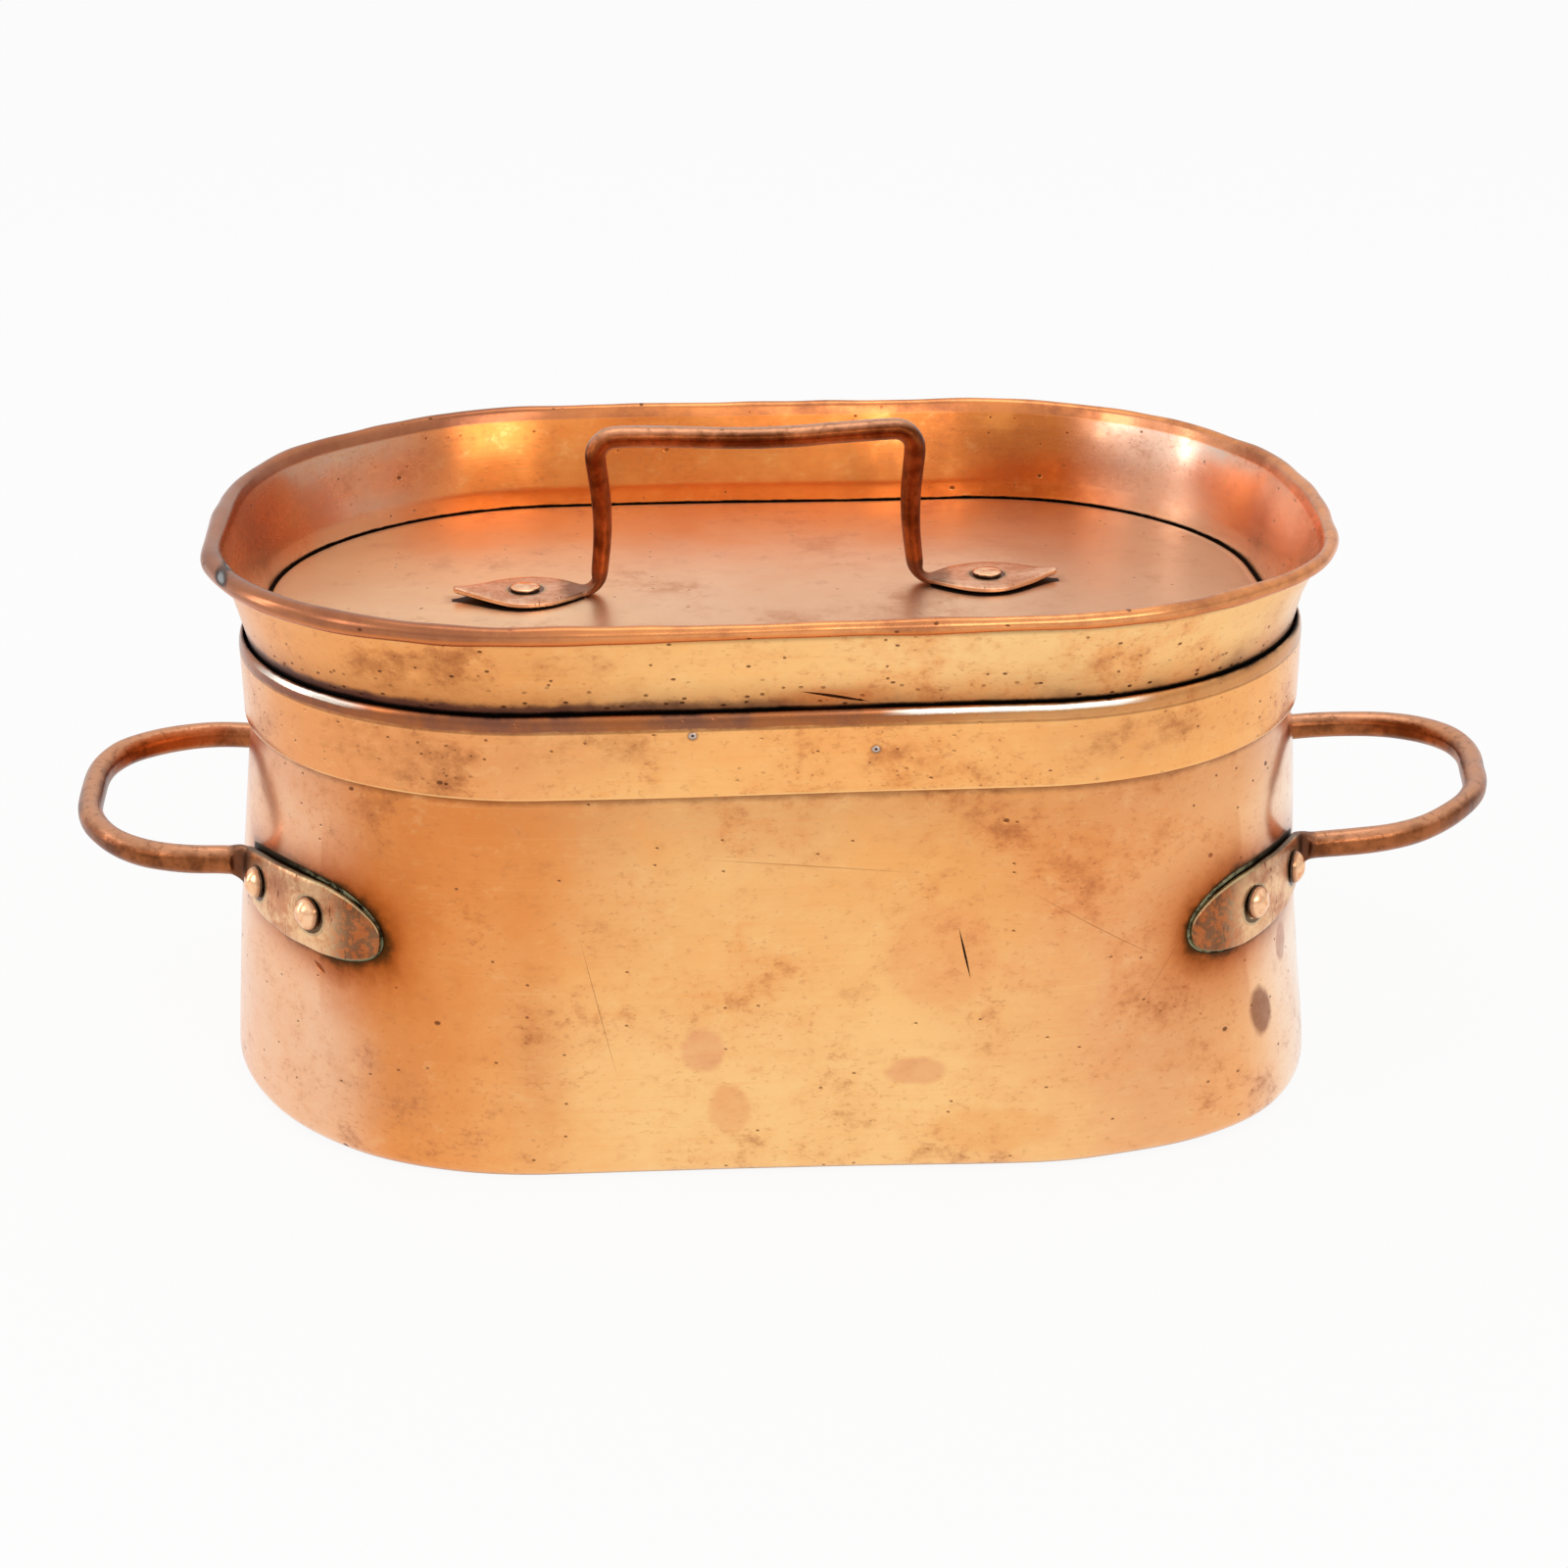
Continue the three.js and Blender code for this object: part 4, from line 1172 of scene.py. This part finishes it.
def tray_finish():
    """The tray wall: deep copper inside, deepened further as painted interreflection and paler at its ends
    as painted reflection; clouded outside, brown at its foot, its rim worn by rubbing and mottled, with
    painted shade under the roll.
    """
    sheet = Sheet("aged_tray_copper", 50)
    finish = sheet.finish
    inside = finish.between(finish.marked("inner"), 0.4, 0.6)
    sheet.lay(finish.between(sheet.wavy(finish.x, 90), -30, -110) * 0.7, tone(242, 156, 86))
    sheet.lay_clouds(TRAY_CLOUDS, (0.25, tone(222, 136, 70)), (0.9, tone(146, 80, 44)))
    # Inside the wall a deeper orange: the copper's tone, deepened further as painted interreflection of the
    # walls
    deep = finish.paint(finish.between(sheet.small, 0.38, 0.6), tone(236, 144, 72), tone(220, 118, 50))
    sheet.lay(inside, deep)
    back = inside * finish.between(finish.y, 50, 100) * finish.between(finish.x, 0, 60)
    sheet.lay_patches(back, 0.8, 0.8, tone(176, 90, 42), 0.05)
    # Paler inside at the ends: painted reflection
    sheet.lay(inside * finish.between(finish.x, -100, -150) * 0.85, tone(200, 170, 150), 0.04)
    sheet.lay(inside * finish.between(finish.x, 110, 150) * 0.95, tone(230, 206, 190), 0.02)
    sheet.lay_wear(52)
    rim = finish.between(finish.z, ROLL_HEIGHT - 2.6, ROLL_HEIGHT - 1.6)
    sheet.lay(rim * 0.8, tone(234, 144, 86))
    leftwards = finish.between(sheet.wavy(finish.x, 60), -30, -110)
    sheet.lay(rim * leftwards * 0.75, tone(150, 94, 70), 0.02)
    sheet.lay_patches(rim, 0.7, 0.7, tone(140, 84, 62), 0.04)
    under = finish.between(sheet.offset, ROLL_OFFSET + 0.2, ROLL_OFFSET + 1.2)
    under = under * finish.between(finish.z, ROLL_HEIGHT - 0.2, ROLL_HEIGHT - 1.2)
    sheet.lay(under * 0.7, tone(226, 128, 58))
    # A dark line under the roll: painted shade under its overhang
    shade_under_roll = finish.between(finish.z, ROLL_HEIGHT - 1.8, ROLL_HEIGHT - 2.4)
    shade_under_roll = shade_under_roll * finish.between(sheet.offset, 5, 6)
    sheet.lay(shade_under_roll * (1 - inside) * 0.85, tone(74, 38, 20), 0.1)
    sheet.lay(finish.front_spot(-168, 178.2, 2.4, 1.5, 0.4, 0.9) * rim, tone(60, 46, 40), 0.2)
    sheet.lay(finish.front_spot(-168, 178.3, 1.3, 0.8, 0.4, 0.9) * rim, tone(150, 150, 150), 0.1)
    low = sheet.rough(sheet.wavy(finish.z, 16), 5)
    outside = 1 - inside
    browned = finish.between(low, SHOULDER_TOP + 13, SHOULDER_TOP - 2) * outside
    sheet.lay(browned * 0.7, tone(160, 88, 44), 0.06)
    sheet.lay(finish.between(low, SHOULDER_TOP + 6, SHOULDER_TOP - 3) * outside * 0.8, DARK, 0.15)
    leftwards = finish.between(sheet.wavy(finish.x, 80), 80, -80)
    tarnish = sheet.rough(sheet.wavy(finish.z, 5), 3)
    tarnish = finish.between(tarnish, SHOULDER_TOP + 4.6, SHOULDER_TOP + 2.2)
    sheet.lay(tarnish * leftwards * outside * 0.85, tone(74, 42, 40), 0.05)
    specks = finish.pits(3.4, 0.55, 0.4, 57, 1.7) * finish.between(low, SHOULDER_TOP + 14, SHOULDER_TOP + 2)
    sheet.lay(specks * outside * 0.9, DARK, 0.2, 1.0)
    sheet.lay(finish.pits(6, 0.5, 0.2, 61, 1.8) * outside * 0.8, DARK, 0.2, 1.0)
    seam = sheet.rough(finish.z, 1.6)
    sheet.lay(finish.between(seam, SHOULDER_TOP + 1.6, SHOULDER_TOP + 0.5) * outside, SOOT_AND_SHADOW, 0.3)
    sheet.lay(finish.between(seam, PANEL_TOP + 0.9, PANEL_TOP + 0.3) * inside, SOOT_AND_SHADOW, 0.3)
    smear = finish.front_spot(12, 153.6, 15, 2.4, 0.9, 1.0) * outside
    sheet.lay(smear * 0.6, tone(190, 96, 40), 0.05)
    sheet.lay(finish.scratch((3, 155.4), (25, 151), 0.55) * outside, tone(58, 28, 14), 0.2, 1.6)
    return sheet.done()


def panel_finish():
    """The panel: satin, with grime and painted shade round the grip's feet, a painted shadow under their
    lifted edges, and soot in its seam.
    """
    tones = (tone(238, 194, 156), tone(244, 206, 172), tone(228, 176, 136))
    sheet = Sheet("satin_panel_copper", 90, *tones, gloss=0.24, standing=False)
    finish = sheet.finish
    sheet.lay(finish.between(sheet.wavy(finish.x, 90), -10, -100) * 0.7, tone(255, 212, 166))
    sheet.lay(finish.between(sheet.wavy(finish.x, 60), 60, 110) * 0.6, tone(208, 158, 122))
    sheet.lay(finish.between(sheet.streaks, 0.5, 0.8) * 0.35, tone(214, 156, 118))
    sheet.lay(finish.between(sheet.mottle, 0.52, 0.7) * 0.6, tone(200, 140, 102), 0.06)
    sheet.lay(finish.between(sheet.fine, 0.52, 0.8) * 0.3, BROWN, 0.06)
    sheet.lay(finish.pits(9, 0.5, 0.16, 94) * 0.7, DARK, 0.2, 0.8)
    # A brown halo round each foot: painted shade with grime; then a black line just in front of the feet:
    # painted shadow under their lifted edges
    foot = sheet.rough(foot_edge(finish, 0.0), 2)
    sheet.lay(finish.between(foot, 5, 0) * 0.5, tone(176, 120, 92), 0.08)
    foot = sheet.rough(foot_edge(finish, 1.0), 1.5)
    sheet.lay(finish.between(foot, 0.9, 0.2) * 0.95, SOOT_AND_SHADOW, 0.2)
    sheet.lay(finish.between(sheet.offset, -3.5, -3.2), SOOT_AND_SHADOW, 0.3)
    sheet.lay(finish.band(sheet.offset, -5.2, -4.3, 0.6) * 0.5, tone(255, 220, 186))
    under = finish.between(finish.z, PANEL_TOP - 0.7, PANEL_TOP - 1.0)
    sheet.lay_patches(under, 0.7, 0.7, BROWN, 0.12)
    return sheet.done()


def forged_finish(name, rivet_runs, strap_run, tip_run, bar_tones, face_tone, edge_tones, upper_darkening):
    """Beaten bar: brown, painted lighter on its upper faces as painted light and wear from rubbing, its
    thin sides in tones of their own, ringed round its rivets.
    """
    finish = Finish(name)
    run, across, through = finish.parts(finish.marked("lie", "Vector"))
    up = finish.marked("lit_and_rubbed")
    patches = finish.clouds(16, 5, 0.65, seed=4)
    fine = finish.clouds(2.6, 5, 0.65, seed=8)
    chisel = finish.clouds(3.0, 3, 0.6, (0.35, 0.35, 3.0), 12)
    colour = finish.paint(finish.between(patches, 0.36, 0.64), *bar_tones)
    # Upper faces painted lighter: painted light, with some wear from rubbing
    top = finish.between(up + (patches - 0.5) * 0.8, 0.3, 0.9)
    colour = finish.paint(top * 0.75, colour, tone(222, 160, 122))
    colour = finish.paint(finish.between(fine, 0.5, 0.74) * 0.6, colour, DARK)
    flat = finish.between(run, strap_run + 4, strap_run - 8)
    browned = finish.between(patches + (fine - 0.5) * 0.5, 0.36, 0.66)
    face = finish.paint(browned, face_tone, tone(212, 144, 102))
    colour = finish.paint(flat * 0.9, colour, face)
    # The strap face darker towards its upper edge near the tip
    upper = flat * finish.between(across + (patches - 0.5) * 20, 1, 9) * finish.between(run, 0, 14)
    colour = finish.paint(upper * upper_darkening, colour, tone(124, 70, 46))
    rusty = finish.paint(finish.between(fine, 0.42, 0.6), tone(100, 52, 26), tone(176, 90, 38))
    tip = flat * finish.between(run + (patches - 0.5) * 14, tip_run + 6, tip_run - 8)
    colour = finish.paint(tip * 0.85, colour, rusty)
    bend = finish.band(run + (patches - 0.5) * 12, strap_run - 3, strap_run + 8, 6)
    colour = finish.paint(bend * 0.65, colour, tone(92, 60, 46))
    marks = flat * finish.between(chisel, 0.6, 0.7) * finish.between(patches, 0.45, 0.55)
    colour = finish.paint(marks * 0.8, colour, DARK)
    gloss = 0.22 + 0.16 * patches + marks * 0.2 + bend * 0.1
    for place in rivet_runs:
        away = ((run - place) * (run - place) + across * across) ** 0.5
        away = away + (fine - 0.5) * 1.2
        colour = finish.paint(finish.band(away, 6.2, 6.9, 0.5) * 0.5, colour, tone(168, 152, 118))
        colour = finish.paint(finish.band(away, 4.8, 6.0, 0.3) * 0.85, colour, tone(48, 34, 24))
    # The thin sides: a verdigris crust on the straps; on the grip's feet their pale tone is a painted
    # highlight along the edges
    thin = flat * finish.between(abs(through), 0.75, 0.5)
    crust_and_edge_sheen = finish.paint(finish.between(run + (fine - 0.5) * 24, tip_run + 24, tip_run), *edge_tones)
    colour = finish.paint(thin * 0.85, colour, crust_and_edge_sheen)
    height = fine * 0.5 + patches * 2 - marks * 0.8
    return finish.done(colour, gloss, finish.relief(height, 0.22))


def rivet_finish():
    """Rivet heads: painted pale where they face out and dark round their edges, as painted light and shade
    with wear from rubbing; tinned where they are clinched.
    """
    finish = Finish("rubbed_rivet_copper")
    fine = finish.clouds(2.2, 4, 0.6, seed=12)
    lit_and_rubbed = finish.marked("lit_and_rubbed") + (fine - 0.5) * 0.2
    # The head painted pale where it faces out, darker down its sides and dark at its edge: painted light
    # and shade, with some wear
    colour = finish.paint(finish.between(fine, 0.4, 0.75) * 0.7, tone(255, 204, 160), tone(226, 146, 98))
    colour = finish.paint(finish.between(lit_and_rubbed, 0.74, 0.5) * 0.7, colour, tone(150, 86, 50))
    colour = finish.paint(finish.between(lit_and_rubbed, 0.42, 0.24), colour, tone(58, 38, 26))
    clinched = finish.between(lit_and_rubbed, -0.05, -0.3)
    colour = finish.paint(clinched, colour, finish.paint(fine, TIN, TIN_DARK))
    return finish.done(colour, 0.14 + 0.12 * fine + clinched * 0.15, finish.relief(fine, 0.12))


def wire_finish():
    finish = Finish("dull_iron_wire")
    fine = finish.clouds(2.0, 4, 0.6, seed=15)
    colour = finish.paint(fine, tone(130, 122, 114), tone(78, 70, 62))
    return finish.done(colour, 0.5 + 0.15 * fine)


# The stand, the light and the camera

# How white the floor is, and how much of it the camera and the metal see as plain white
FLOOR_WHITE = 0.94
FLOOR_PLAIN = 0.92

# What the metal mirrors up to a low height in the sky, where 1 is white, and where the white is full
HORIZON = 0.76
LOW_SKY, HIGH_SKY = 0.1, 0.6

# How much of the white lights the object, beside the lamps
SKY_LIGHT = 0.6

# The lamps: place, size and power
LAMPS = {
    "overhead": ((0.0, 0.2, 1.6), (1.2, 0.7), 2.9),
    "front_right": ((0.75, -1.6, 1.0), (1.3, 0.6), 6),
    "left_strip": ((-1.35, 0.2, 0.42), (0.22, 0.8), 2.2),
    "left_side": ((-1.5, -0.7, 0.8), (0.5, 0.7), 2.5),
}
LAMPS_AIM = (0, 0, 0.1)


def set_stage():
    """A floor that keeps the pot's shadow, and is otherwise white to the camera and in the metal."""
    bm = bmesh.new()
    bmesh.ops.create_grid(bm, x_segments=1, y_segments=1, size=4)
    mesh = bpy.data.meshes.new("floor")
    bm.to_mesh(mesh)
    bm.free()
    floor = bpy.data.objects.new("floor", mesh)
    bpy.context.scene.collection.objects.link(floor)
    material = bpy.data.materials.new("white_floor")
    material.use_nodes = True
    material.node_tree.nodes.clear()
    nodes = Nodes(material.node_tree)
    white = (FLOOR_WHITE, FLOOR_WHITE, FLOOR_WHITE, 1)
    matt = nodes.node("ShaderNodeBsdfDiffuse", values={"Color": white})
    plain = nodes.node("ShaderNodeEmission", values={"Strength": 1.0})
    seen, mirrored = nodes.ray_kinds()
    shown = seen.atleast(mirrored) * FLOOR_PLAIN
    joined = nodes.node("ShaderNodeMixShader", values={0: shown, 1: matt, 2: plain})
    out = material.node_tree.nodes.new("ShaderNodeOutputMaterial")
    nodes.feed(out.inputs[0], joined)
    mesh.materials.append(material)


def set_world():
    """White to the camera; what the metal mirrors is a little darker near the horizon than overhead."""
    world = bpy.data.worlds.new("white_studio")
    bpy.context.scene.world = world
    world.use_nodes = True
    nodes = Nodes(world.node_tree)
    back = world.node_tree.nodes["Background"]
    nodes.feed(back.inputs["Color"], (1, 1, 1, 1))
    rise = nodes.parts(nodes.node("ShaderNodeTexCoord"))[2]
    level = nodes.between(rise, LOW_SKY, HIGH_SKY) * (1 - HORIZON) + HORIZON
    seen, mirrored = nodes.ray_kinds()
    light = mirrored * (1 - SKY_LIGHT) + SKY_LIGHT
    nodes.feed(back.inputs["Strength"], (level * light).atleast(seen))


def set_lamp(name, place, size, power):
    lamp = bpy.data.lights.new(name, "AREA")
    lamp.shape = "RECTANGLE"
    lamp.size, lamp.size_y = size
    lamp.energy = power
    held = bpy.data.objects.new(name, lamp)
    held.location = place
    held.rotation_euler = (Vector(LAMPS_AIM) - Vector(place)).to_track_quat("-Z", "Y").to_euler()
    bpy.context.scene.collection.objects.link(held)


def set_camera():
    """The photograph's camera: its distance, heights and turn, aimed below the lid's crevice."""
    distance = 950
    rise = math.radians(21.95)
    turn = math.radians(-2.81)
    roll = math.radians(-0.46)
    focal_pixels, photo_pixels = 2920, 1600
    aim_right, aim_up = 5.18, -66.09
    back = Vector((math.sin(turn) * math.cos(rise), -math.cos(turn) * math.cos(rise), math.sin(rise)))
    right = Vector((math.cos(turn), math.sin(turn), 0))
    up = back.cross(right)
    rolled_right = right * math.cos(roll) + up * math.sin(roll)
    rolled_up = up * math.cos(roll) - right * math.sin(roll)
    aim = Vector((0, 0, SHOULDER_TOP)) + rolled_right * aim_right + rolled_up * aim_up
    at = (aim + back * distance) * MM
    data = bpy.data.cameras.new("camera")
    data.sensor_width = 36
    data.lens = focal_pixels * data.sensor_width / photo_pixels
    camera = bpy.data.objects.new("camera", data)
    camera.matrix_world = Matrix((rolled_right, rolled_up, back)).transposed().to_4x4()
    camera.location = at
    bpy.context.scene.collection.objects.link(camera)
    bpy.context.scene.camera = camera


body = body_finish()
skirt = skirt_finish()
tray = tray_finish()
rivet_runs = [STRAP_LENGTH - from_bend for from_bend in STRAP_RIVETS.values()]
straps = forged_finish(
    "forged_loop_copper", rivet_runs, STRAP_LENGTH, 18, (tone(112, 62, 34), tone(172, 102, 60)),
    tone(255, 208, 158), (tone(78, 60, 38), tone(186, 172, 130)), 0.4
)
# The feet's pale edge tones are a painted highlight along their thin sides
feet = forged_finish(
    "forged_grip_copper", [FOOT_RIVET], FOOT_LENGTH - FOOT_BEND, -4, (tone(94, 42, 16), tone(164, 86, 44)),
    tone(244, 192, 156), (tone(238, 196, 160), tone(238, 196, 160)), 0.0
)
rivets = rivet_finish()

raise_pot_wall(body)
set_base_plate(base_finish())
fold_skirt(skirt)
flare_tray_wall(tray)
lay_rim_wire(wire_finish())
lay_panel(panel_finish())
forge_loop("right", straps)
forge_loop("left", straps)
forge_grip(feet)
set_strap_rivets(rivets)
set_grip_rivets(rivets)

set_stage()
set_world()
for name, (place, size, power) in LAMPS.items():
    set_lamp(name, place, size, power)
set_camera()

bpy.context.scene.view_settings.view_transform = "Standard"
